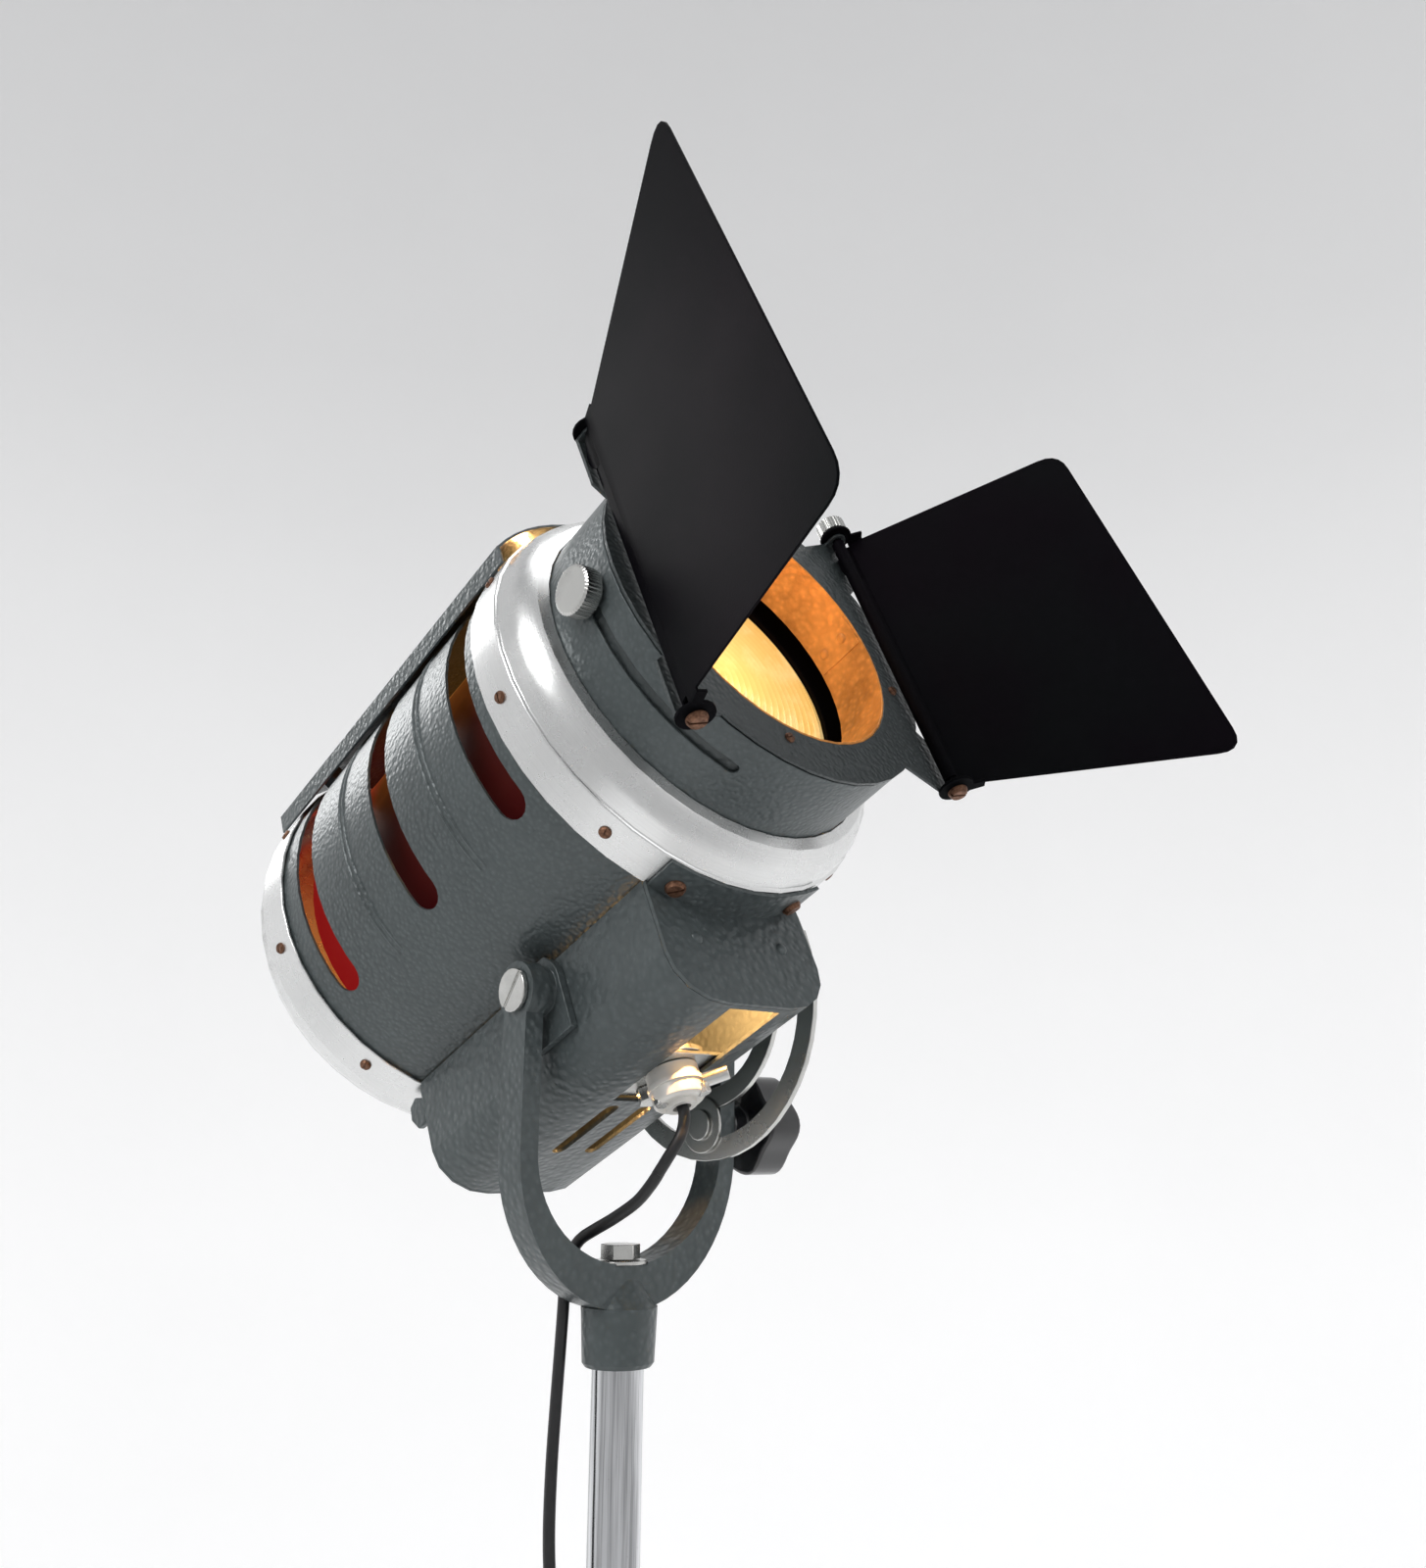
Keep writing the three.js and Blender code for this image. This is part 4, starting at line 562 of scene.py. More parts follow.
def knurled_disc(mesh, radius, low, high, matrix, teeth=30, depth=0.5 * MM, crown=1.2 * MM):
    """Adds a thumb nut: a ribbed rim between two domed faces."""
    count = teeth * 4
    shape = [radius - (depth if i % 4 in (0, 3) else 0) for i in range(count)]
    shoulder = crown * 0.6
    levels = [(low, radius - crown), (low + shoulder, None), (high - shoulder, None), (high, radius - crown)]
    rows = []
    for height, fixed in levels:
        row = []
        for i in range(count):
            turn = 2 * math.pi * i / count
            r = fixed or shape[i]
            row.append(mesh.verts.new(matrix @ Vector((r * math.cos(turn), r * math.sin(turn), height))))
        rows.append(row)
    skin(mesh, rows)


def smooth_route(points, spacing=3 * MM):
    """A smooth curve through given points, with places about one spacing apart."""
    route = []
    padded = [points[0] * 2 - points[1], *points, points[-1] * 2 - points[-2]]
    for p0, p1, p2, p3 in zip(padded, padded[1:], padded[2:], padded[3:]):
        steps = max(1, round((p2 - p1).length / spacing))
        for step in range(steps):
            t = step / steps
            place = 2 * p1 + (p2 - p0) * t + (2 * p0 - 5 * p1 + 4 * p2 - p3) * t * t
            route.append((place + (3 * p1 - p0 - 3 * p2 + p3) * t ** 3) / 2)
    route.append(points[-1].copy())
    return route


def swept_tube(mesh, route, radius, sides=12):
    """Adds a closed tube along a route."""
    direction = (route[1] - route[0]).normalized()
    across = direction.orthogonal().normalized()
    rows = []
    for i, place in enumerate(route):
        ahead = route[min(i + 1, len(route) - 1)] - route[max(i - 1, 0)]
        turn = direction.rotation_difference(ahead.normalized())
        across = (turn @ across).normalized()
        direction = ahead.normalized()
        beside = direction.cross(across)
        rows.append([
            mesh.verts.new(place + radius * (across * math.cos(2 * math.pi * s / sides)
                                             + beside * math.sin(2 * math.pi * s / sides)))
            for s in range(sides)
        ])
    skin(mesh, rows)


# ---- what a user would change -------------------------------------------------------------------
def length_value(name, description, default):
    return FloatProperty(
        name=name, description=description, default=default, min=0.0, unit="LENGTH", precision=4
    )


def colour_value(name, description, default):
    return FloatVectorProperty(
        name=name, description=description, default=default, size=3, min=0.0, max=1.0, subtype="COLOR"
    )


class SpotlightSizes(bpy.types.PropertyGroup):
    cord_diameter: length_value("Cord diameter", "Outside of the mains lead", 5.8 * MM)
    cord_length: length_value("Cord length", "Main lead from the lamp's pigtail to its plug", 1.83)
    band_screw: length_value("Band screw", "Head radius of the screws round the drum's bands", 3.1 * MM)
    cap_screw: length_value("Cap screw", "Head radius of the two screws on the lamp box's front", 5.0 * MM)
    drum_bead: length_value("Drum bead", "How far the pressed beads stand out of the drum", 0.9 * MM)
    casting_edge: length_value("Casting edge", "Rounding of cast edges", 1.4 * MM)
    lens_rings: IntProperty(
        name="Lens rings", description="Steps moulded in the lens", default=17, min=3, max=40
    )


class SpotlightColours(bpy.types.PropertyGroup):
    enamel: colour_value("Enamel", "Hammered grey-green enamel", (0.07, 0.084, 0.086))
    aluminium: colour_value("Aluminium", "Spun end caps", (0.78, 0.785, 0.78))
    leaf: colour_value("Leaves", "Matt black of the barn doors", (0.0032, 0.0018, 0.0036))
    steel: colour_value("Plated steel", "Screws, quadrant and nuts", (0.62, 0.62, 0.6))
    chrome: colour_value("Chrome", "Stand tube", (0.74, 0.75, 0.77))
    bakelite: colour_value("Bakelite", "Star knob", (0.008, 0.008, 0.01))
    rubber: colour_value("Rubber", "Cord and plug", (0.01, 0.01, 0.011))
    brass: colour_value("Tarnished brass", "Old screws", (0.2, 0.1, 0.06))
    # painted light: the collar's orange stands in for the lamp's light on it
    painted_light_collar: colour_value("Lit collar", "Collar round the beam", (0.5, 0.2, 0.045))
    baffle: colour_value("Inner sheet", "Red inner sheet behind the vents", (0.07, 0.004, 0.004))
    paper: colour_value("Backdrop", "Floor and backdrop", (0.74, 0.74, 0.742))


def sizes():
    return bpy.context.scene.spotlight_sizes


def colours():
    return bpy.context.scene.spotlight_colours


def lens_view():
    """The radius of the lens's ringed face, inside its plain rim."""
    low, high = head_span("lens")
    return (high.x - low.x) / 2 - LENS_RIM


LENS_RIM = 1.6 * MM
FINISHES = {
    "enamel": lambda: hammered_enamel("hammered_enamel", colours().enamel),
    # painted shade: the enamel darkened for the door plate
    "painted_shade_enamel": lambda: hammered_enamel("painted_shade_enamel", [channel * 0.6 for channel in colours().enamel]),
    "casting": lambda: hammered_enamel("hammered_casting", colours().enamel, 1.5),
    "aluminium": lambda: turned_metal("spun_aluminium", colours().aluminium, 0.27),
    "leaf": lambda: matt_black("leaf_black", colours().leaf, 0.58),
    "steel": lambda: bright_metal("plated_steel", colours().steel),
    "chrome": lambda: pitted_chrome("chrome", colours().chrome),
    "bakelite": lambda: polished_black("black_bakelite", colours().bakelite),
    "rubber": lambda: soft_rubber("black_rubber", colours().rubber),
    "brass": lambda: tarnished_brass("tarnished_brass", colours().brass),
    # painted light: the collar's colour and glow stand in for the lamp's light
    "painted_light_collar": lambda: collar_with_painted_glow("lit_collar", colours().painted_light_collar, 0.5),
    "baffle": lambda: inner_sheet("inner_sheet", colours().baffle, (0.4, 0.15, 0.04), 0.42),
    "lens": lambda: lit_lens("lit_lens", (0.5, 0.4, 0.2), 0.72, lens_view() / sizes().lens_rings),
    "socket": lambda: pale_casting("socket_casting", (0.72, 0.7, 0.66)),
    "ceramic": lambda: finish("socket"),
    "paper": lambda: studio_paper("studio_paper", colours().paper),
}
made_finishes = {}


def finish(name):
    """A finish by name, made the first time that it is asked for."""
    if name not in made_finishes:
        made_finishes[name] = FINISHES[name]()
    return made_finishes[name]


# ---- operators ----------------------------------------------------------------------------------
CAMERA_PLACE = (-0.4456, -0.5407, -0.0641)  # metres from the tilt axis
CAMERA_BEARING, CAMERA_RISE, CAMERA_ROLL = 0.751, 0.249, 0.008  # radians
CAMERA_LENS, CAMERA_SENSOR = 31.33, 36
AHEAD = Vector((math.sin(CAMERA_BEARING), math.cos(CAMERA_BEARING), 0))  # level, as the camera looks
ASIDE = Vector((AHEAD.y, -AHEAD.x, 0))  # level, to the camera's right
LIT_CENTRE = (0, 0, 0.12)
SOFT_LIGHTS = (  # name, metres ahead of, right of and above the lit centre as the camera sees it, size, power
    ("key", -1.5, -1.3, 1.3, 1.1, 24),
    ("fill", -1.4, 1.7, 0.4, 1.3, 4.5),
    ("top", 0.3, 0, 2.1, 1.4, 14),
    ("rim", 1.2, -1.5, 0.9, 0.8, 9),
    ("under", -0.7, -0.3, -1.2, 1.0, 1),
)
LAMP_LIGHT = (1.0, 0.5, 0.17)
LAMP_LIGHT_RADIUS = 3 * MM
SKY, SKY_STRENGTH = (0.97, 0.98, 1.0, 1), 0.4


def linked(name, data):
    """A new object in the scene for a camera's or a light's data."""
    made = bpy.data.objects.new(name, data)
    bpy.context.scene.collection.objects.link(made)
    return made


class SPOTLIGHT_OT_stage(bpy.types.Operator):
    """Camera, soft studio lights, floor and backdrop"""

    bl_idname = "spotlight.stage"
    bl_label = "Stage"
    bl_options = {"REGISTER", "UNDO"}

    def execute(self, context):
        self.camera()
        self.lights()
        self.backdrop()
        return {"FINISHED"}

    def camera(self):
        data = bpy.data.cameras.new("camera")
        data.sensor_fit = "VERTICAL"
        data.sensor_height = CAMERA_SENSOR
        data.lens = CAMERA_LENS
        data.clip_start = 0.02
        aim = AHEAD * math.cos(CAMERA_RISE) + Vector((0, 0, math.sin(CAMERA_RISE)))
        up = ASIDE.cross(aim)
        right = ASIDE * math.cos(CAMERA_ROLL) + up * math.sin(CAMERA_ROLL)
        top = up * math.cos(CAMERA_ROLL) - ASIDE * math.sin(CAMERA_ROLL)
        turn = Matrix((right, top, -aim)).transposed().to_4x4()
        camera = linked("camera", data)
        camera.matrix_world = Matrix.Translation(TILT_AXIS + Vector(CAMERA_PLACE)) @ turn
        bpy.context.scene.camera = camera

    def lights(self):
        centre = TILT_AXIS + Vector(LIT_CENTRE)
        for name, forward, aside, rise, size, power in SOFT_LIGHTS:
            data = bpy.data.lights.new(name, "AREA")
            data.shape = "DISK"
            data.size = size
            data.energy = power
            offset = AHEAD * forward + ASIDE * aside + Vector((0, 0, rise))
            linked(name, data).matrix_world = standing_on(centre + offset, offset)
        warm = [
            ("glow_in_lamp_box", in_head(0, 0.062, -0.012), 2.0),
            ("glow_behind_post", in_head(0, -0.045, -0.032), 0.12),
            ("glow_under_hood", round_about_axis(0.118, 0.088, 150), 0.07),
            ("glow_in_nose", in_head(0, 0.15, OPTICAL_RISE), 0.06),
        ]
        for name, place, power in warm:
            data = bpy.data.lights.new(name, "POINT")
            data.shadow_soft_size = LAMP_LIGHT_RADIUS
            data.color = LAMP_LIGHT
            data.energy = power
            linked(name, data).location = place
        world = bpy.data.worlds.new("studio")
        world.use_nodes = True
        background = world.node_tree.nodes["Background"]
        background.inputs["Color"].default_value = SKY
        background.inputs["Strength"].default_value = SKY_STRENGTH
        scene = bpy.context.scene
        scene.world = world
        scene.view_settings.view_transform = "Standard"

    def backdrop(self):
        """A round cyclorama: a floor that curves up into a wall, its painted glow dimmer behind the camera.
        """
        floor, reach, cove, top = -1.25, 3.4, 1.3, 6.0
        cove_steps, count = 10, 72
        profile = [(0.0, floor), (reach - cove, floor)]
        for step in range(1, cove_steps + 1):
            turn = math.pi / 2 * step / cove_steps
            profile.append((reach - cove + cove * math.sin(turn), floor + cove * (1 - math.cos(turn))))
        profile.append((reach, top))
        mesh = bmesh.new()
        rows = []
        for step in range(count):
            turn = 2 * math.pi * step / count
            rows.append([mesh.verts.new((r * math.cos(turn), r * math.sin(turn), h)) for r, h in profile])
        for step in range(count):
            here, there = rows[step], rows[(step + 1) % count]
            for i in range(1, len(profile) - 1):
                mesh.faces.new((here[i], there[i], there[i + 1], here[i + 1]))
        mesh.faces.new([row[1] for row in rows])
        paper = settle(mesh, "backdrop", "paper", None, 80)


# The cord's route in millimetres from the tilt axis. The first list is in front of the socket's mouth.
PIGTAIL = [(-5, -48.3, -66.5), (-8.44, -43.3, -76.69), (-9.4, -38.5, -83)]
DROP = [
    (-9.44, -38.32, -83.24), (-10.12, -34.9, -87.74), (-11.8, -26, -96.5), (-14.8, -13, -104.5),
    (-17.3, -1, -110.5), (-18.9, 8, -115.5), (-20, 13.6, -123), (-20.6, 16.2, -133),
    (-21.2, 16.4, -148), (-22.5, 16.2, -168), (-24, 16, -190), (-25.3, 16, -217),
    (-25.7, 15.6, -245), (-25.5, 13.2, -266), (-25, 7.4, -282),
]
COIL_TURNS = 7
COIL_SLOTS = 8  # places round the bundle's section that the turns take one after another
COIL_STEPS = 36  # points to a turn
COIL_SHORT = 5  # points by which the last turn stops short
COIL_ENTRY = math.radians(24)
TAIL_ARC = 42 * MM
TAIL_STOPS = (14, 24, 36, 50, 64, 78, 90)  # degrees round the arc from the coil down to the plug


class SPOTLIGHT_OT_cord(bpy.types.Operator):
    """Mains lead: pigtail at the socket, drop past the yoke, stored coil, strap and plug"""

    bl_idname = "spotlight.cord"
    bl_label = "Cord"
    bl_options = {"REGISTER", "UNDO"}

    def execute(self, context):
        radius = sizes().cord_diameter / 2
        self.pigtail(radius)
        self.main_cord(radius)
        return {"FINISHED"}

    def place(self, point):
        return TILT_AXIS + Vector(point) * MM

    def pigtail(self, radius):
        low, high = head_span("lamp_socket")
        socket_at = (low.y + high.y) / 2
        mouth = low.z + 2.5 * MM
        points = [in_head(0, socket_at, mouth), in_head(0, socket_at, low.z - 6 * MM)]
        points += [self.place(point) for point in PIGTAIL]
        route = smooth_route(points, 2 * MM)
        mesh = bmesh.new()
        swept_tube(mesh, route, radius)
        cord = settle(mesh, "cord_pigtail", "rubber", None)
        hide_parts("cord_lead")
        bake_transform(cord)

    def main_cord(self, radius):
        low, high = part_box("cord_coil")
        centre = (low + high) / 2
        outside = (high.z - low.z) / 2
        section = (high.x - low.x) / 2
        ring = outside - section
        bundle = section - radius - 0.25 * MM
        drop = [self.place(point) for point in DROP]
        turns = []
        for step in range(COIL_TURNS * COIL_STEPS - COIL_SHORT):
            swing = 2 * math.pi / COIL_SLOTS * step / COIL_STEPS
            reach = ring + bundle * math.cos(swing)
            aside = -bundle * math.sin(swing)
            angle = COIL_ENTRY - 2 * math.pi * step / COIL_STEPS
            turns.append(centre + Vector((aside, -reach * math.cos(angle), reach * math.sin(angle))))
        plug_low, plug_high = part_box("cord_plug")
        plug_top = Vector(((plug_low.x + plug_high.x) / 2, (plug_low.y + plug_high.y) / 2, plug_high.z))
        arc_centre = Vector((plug_top.x, plug_top.y + TAIL_ARC, plug_top.z + 3 * MM))
        tail = []
        for degrees in TAIL_STOPS:
            turn = math.radians(degrees)
            tail.append(arc_centre + Vector((0, -TAIL_ARC * math.sin(turn), TAIL_ARC * math.cos(turn))))
        tail[0].x = centre.x - bundle * 0.95
        tail[1].x = (centre.x - bundle) * 0.45 + plug_top.x * 0.55
        tail.append(plug_top + Vector((0, 0, -2 * MM)))
        route = smooth_route(drop + turns[1:] + tail, 3 * MM)
        mesh = bmesh.new()
        swept_tube(mesh, route, radius)
        cord = settle(mesh, "mains_cord", "rubber", None)
        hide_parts("cord_drop", "cord_coil", "cord_end")
        plug = refined("cord_plug", "rubber", 0.8 * MM)
        strap = refined("cord_strap", "rubber", 0.3 * MM)
        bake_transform(cord)


BEAD_PLACES = (-53.5, -49.5, 24, 28)  # millimetres ahead of the tilt axis
BEAD_FROM, BEAD_TO = 54, 150  # degrees up each side from the drum's lowest line
BEAD_STEPS = 40
BEAD_FADE = 5  # steps in which a bead rises from the sheet
BEAD_HALF = 0.9 * MM
BEAD_SECTION = ((-1, 0), (-0.35, 0.8), (0, 1), (0.35, 0.8), (1, 0))
BAND_SCREW_INSET = 10.7 * MM
BAND_SCREW_ANGLES = range(-160, 161, 40)
SLOT_TURN = 47  # degrees from one screw's slot to the next one's


class SPOTLIGHT_OT_drum(bpy.types.Operator):
    """Drum shell with its pressed beads, inner sheet, spun end caps and their screws"""

    bl_idname = "spotlight.drum"
    bl_label = "Drum"
    bl_options = {"REGISTER", "UNDO"}

    def execute(self, context):
        refined("drum_shell", "enamel", 0.35 * MM)
        refined("inner_baffle", "baffle", 0.2 * MM)
        for node in ("rear_cap", "front_bezel"):
            refined(node, "aluminium", 0.5 * MM)
        self.beads()
        self.band_screws("rear_cap", "rear_band_screws", 1)
        self.band_screws("front_bezel", "front_band_screws", -1)
        return {"FINISHED"}

    def beads(self):
        """Pairs of pressed lines between the vents, from the side up under the hood."""
        radius = head_span("drum_shell")[1].x - 0.1 * MM
        mesh = bmesh.new()
        for place in BEAD_PLACES:
            for side in (1, -1):
                rows = []
                for step in range(BEAD_STEPS + 1):
                    angle = side * (BEAD_FROM + (BEAD_TO - BEAD_FROM) * step / BEAD_STEPS)
                    stand = sizes().drum_bead * min(1.0, step / BEAD_FADE)
                    rows.append([
                        mesh.verts.new(round_about_axis(
                            radius + stand * rise, place * MM + BEAD_HALF * across, angle
                        ))
                        for across, rise in BEAD_SECTION
                    ])
                skin(mesh, rows)
        settle(mesh, "drum_beads", "enamel", "head", 60)

    def band_screws(self, node, name, towards):
        """Screws round a band, near its forward edge (towards 1) or its back edge (towards -1)."""
        low, high = head_span(node)
        edge = high.y if towards > 0 else low.y
        forward = edge - BAND_SCREW_INSET * towards
        radius = (high.x - low.x) / 2
        mesh = bmesh.new()
        for i, angle in enumerate(BAND_SCREW_ANGLES):
            place = round_about_axis(radius - 0.2 * MM, forward, angle)
            outward = place - in_head(0, forward, OPTICAL_RISE)
            slotted_head(mesh, sizes().band_screw, 1.5 * MM, standing_on(place, outward, SLOT_TURN * i))
        settle(mesh, name, "brass", "head")


class SPOTLIGHT_OT_hood(bpy.types.Operator):
    """Sheet hood over the vents on its four stays"""

    bl_idname = "spotlight.hood"
    bl_label = "Hood"
    bl_options = {"REGISTER", "UNDO"}

    def execute(self, context):
        refined("hood", "enamel", 0.3 * MM)
        for end in ("rear", "front"):
            for side in ("left", "right"):
                refined(f"hood_stay_{end}_{side}", "enamel", 0.4 * MM)
        return {"FINISHED"}


class SPOTLIGHT_OT_nose(bpy.types.Operator):
    """Nose ring, pressed lens and the ring that clamps it"""

    bl_idname = "spotlight.nose"
    bl_label = "Nose and lens"
    bl_options = {"REGISTER", "UNDO"}

    def execute(self, context):
        refined("nose_ring", "enamel", 0.35 * MM)
        refined("lens_ring", "leaf", 0.3 * MM)
        self.lens()
        return {"FINISHED"}

    def lens(self):
        low, high = head_span("lens")
        radius = (high.x - low.x) / 2
        back, front = low.y, high.y
        relief = 0.3 * MM  # the highest ring stays this far under the CAD lens
        face = front - 5 * MM
        view = lens_view()
        count = sizes().lens_rings
        profile = [(0, back), (radius, back), (radius, face), (view, face)]
        for ring in range(count):
            outer = view * (1 - ring / count)
            inner = view * (1 - (ring + 1) / count)
            rise = (front - face - relief) * (0.55 + 0.45 * ring / count)
            profile.append((outer - 0.25 * MM, face + rise * 0.25))
            if ring < count - 1:
                profile.append((inner + 0.35 * MM, face + rise))
                profile.append((inner, face + rise * 0.1))
        profile.append((0, front - 0.2 * MM))
        mesh = bmesh.new()
        axis = standing_on(in_head(0, 0, OPTICAL_RISE), FORWARD)
        solid_of_revolution(mesh, profile, axis, 96)
        lens = settle(mesh, "pressed_lens", "lens", "head", 25)
        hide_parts("lens")


CAP_LIP = 2.0 * MM  # the front cap's lip over the bezel
CAP_SCREW_AT = 8.5 * MM  # ahead of the cap's back edge
CAP_SCREW_ANGLE = 19
RIVET_AT = 2.0 * MM
RIVET_RADIUS = 3.2 * MM
RIVET_ASIDE, RIVET_HEIGHT = 27.5 * MM, -17 * MM
REAR_SCREW_ASIDE, REAR_SCREW_HEIGHT = 36 * MM, -12 * MM


class SPOTLIGHT_OT_lamp_box(bpy.types.Operator):
    """Box under the drum, its end plates, lugs, catch and fixings"""

    bl_idname = "spotlight.lamp_box"
    bl_label = "Lamp box"
    bl_options = {"REGISTER", "UNDO"}

    def execute(self, context):
        for node in ("box_body", "box_front_cap"):
            refined(node, "casting", 0.5 * MM)
        refined("box_rear_plate", "casting", 0.4 * MM)
        refined("rear_catch", "enamel", 0.8 * MM)
        for side in ("left", "right"):
            refined(f"{side}_lug", "casting", 0.8 * MM)
        self.fixings()
        return {"FINISHED"}

    def fixings(self):
        """Two screws that hold the front cap's lip to the bezel, two rivets ahead and two screws behind."""
        cap_back = head_span("box_front_cap")[0].y
        seat = head_span("front_bezel")[1].x + CAP_LIP
        screw_at = cap_back + CAP_SCREW_AT
        mesh = bmesh.new()
        for angle, turn in ((CAP_SCREW_ANGLE, 20), (-CAP_SCREW_ANGLE, 75)):
            place = round_about_axis(seat, screw_at, angle)
            outward = place - in_head(0, screw_at, OPTICAL_RISE)
            slotted_head(mesh, sizes().cap_screw, 2.6 * MM, standing_on(place, outward, turn))
        settle(mesh, "cap_screws", "brass", "head")
        rivets = bmesh.new()
        rear = head_span("box_rear_plate")[0].y
        for side in (-1, 1):
            place = in_head(side * RIVET_ASIDE, cap_back + RIVET_AT, RIVET_HEIGHT)
            domed_rivet(rivets, RIVET_RADIUS, 1.5 * MM, standing_on(place, FORWARD))
        for side in (-1, 1):
            place = in_head(side * REAR_SCREW_ASIDE, rear, REAR_SCREW_HEIGHT)
            slotted_head(rivets, RIVET_RADIUS, 1.8 * MM, standing_on(place, -FORWARD, 30))
        settle(rivets, "box_rivets", "casting", "head")


class SPOTLIGHT_OT_lamp(bpy.types.Operator):
    """Sliding lamp carriage with its socket, post, lampholder, bulb and reflector"""

    bl_idname = "spotlight.lamp"
    bl_label = "Lamp carriage"
    bl_options = {"REGISTER", "UNDO"}

    def execute(self, context):
        for node, look in (
            ("lamp_carriage", "steel"),
            ("lamp_socket", "socket"),
            ("lamp_post", "steel"),
            ("lamp_holder", "ceramic"),
            ("bulb", "lens"),
            ("reflector", "chrome"),
            ("reflector_bracket", "steel"),
            ("focus_nut", "steel"),
            ("cord_clamp_screw", "steel"),
        ):
            refined(node, look)
        self.socket_details()
        return {"FINISHED"}

    def socket_details(self):
        """A collar at the socket's mouth, a rim round the socket above it and two hexagon nuts."""
        low, high = head_span("lamp_socket")
        at = (low.y + high.y) / 2
        down = -HEAD_UP
        mesh = bmesh.new()
        radius = (high.x - low.x) / 2
        inner, outer = radius - 1 * MM, radius + 0.9 * MM
        mouth = standing_on(in_head(0, at, low.z), down)
        bush = [(4.3 * MM, -1 * MM), (8.2 * MM, -1 * MM), (7.6 * MM, 2.2 * MM), (4.6 * MM, 2.2 * MM)]
        revolve(mesh, bush, mouth, 32)
        flange = standing_on(in_head(0, at, low.z + 9 * MM), down)
        rim = [(inner, -1.4 * MM), (outer, -1.2 * MM), (outer, 1.2 * MM), (inner, 1.4 * MM)]
        revolve(mesh, rim, flange, 40)
        settle(mesh, "socket_rims", "socket", "lamp_carriage")
        nuts = bmesh.new()
        hexagon = arc(3.6 * MM, 0, 300, 5)
        for x, forward in ((-9.5 * MM, at - radius * 0.2), (6.5 * MM, at + 10.5 * MM)):
            base = standing_on(in_head(x, forward, low.z + 3 * MM), down + Vector((x * 20, 0, 0)), 10)
            prism(nuts, hexagon, -2 * MM, 3.2 * MM, base)
        piece = settle(nuts, "socket_nuts", "steel", "lamp_carriage")
        soften_edges(piece, 0.4 * MM)


class SPOTLIGHT_OT_yoke(bpy.types.Operator):
    """Cast fork, pan bolt, pivots, slotted quadrant and clamp knob"""

    bl_idname = "spotlight.yoke"
    bl_label = "Yoke and clamp"
    bl_options = {"REGISTER", "UNDO"}

    def execute(self, context):
        refined("yoke", "casting", sizes().casting_edge, segments=3)
        for node in ("left_pivot_screw", "right_pivot_screw", "pan_bolt", "pan_washer", "clamp_bolt",
                     "clamp_washer", "quadrant", "quadrant_spacer_front", "quadrant_spacer_rear"):
            refined(node, "steel", 0.35 * MM)
        refined("clamp_knob", "bakelite", 2.2 * MM, segments=4)
        refined("stand_tube", "chrome", 0.4 * MM)
        refined("tube_plug", "steel", 0.3 * MM)
        self.knob_insert()
        return {"FINISHED"}

    def knob_insert(self):
        """The brass bush in the middle of the star knob's outer face."""
        axis = Vector(joints["clamp_turn"]["pos_m"])
        face = Vector((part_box("clamp_knob")[1].x, axis.y, axis.z))
        mesh = bmesh.new()
        bush = ((0, -2), (6.5, -2), (6.5, 0.5), (5.6, 1.0), (2.5, 1.0), (2.2, 0.2), (0, 0.2))
        profile = [(radius * MM, height * MM) for radius, height in bush]
        solid_of_revolution(mesh, profile, standing_on(face, Vector((1, 0, 0))), 32)
        settle(mesh, "knob_bush", "brass", "clamp_knob")


LEAF_PLANE = 4.4 * MM  # middle of the leaf's sheet from its hinge axis
BARREL_SHORT = 6.5 * MM
BARREL_CLEAR = 0.35 * MM
BARREL_WALL = 0.9 * MM
EAR_RADIUS = 13 * MM
KNOB_RIM = 9.6 * MM  # thickness of the thumb knob's ribbed part
LAP_FROM, LAP_SWEEP, LAP_RIVETS = -112, 14, -105  # degrees round the collar
LAP_INSET = 1 * MM
LAP_WALL = 0.9 * MM
PLATE_SCREW_CIRCLE = 83 * MM
PLATE_SCREW_ANGLES = (16, 106, 196, 286)


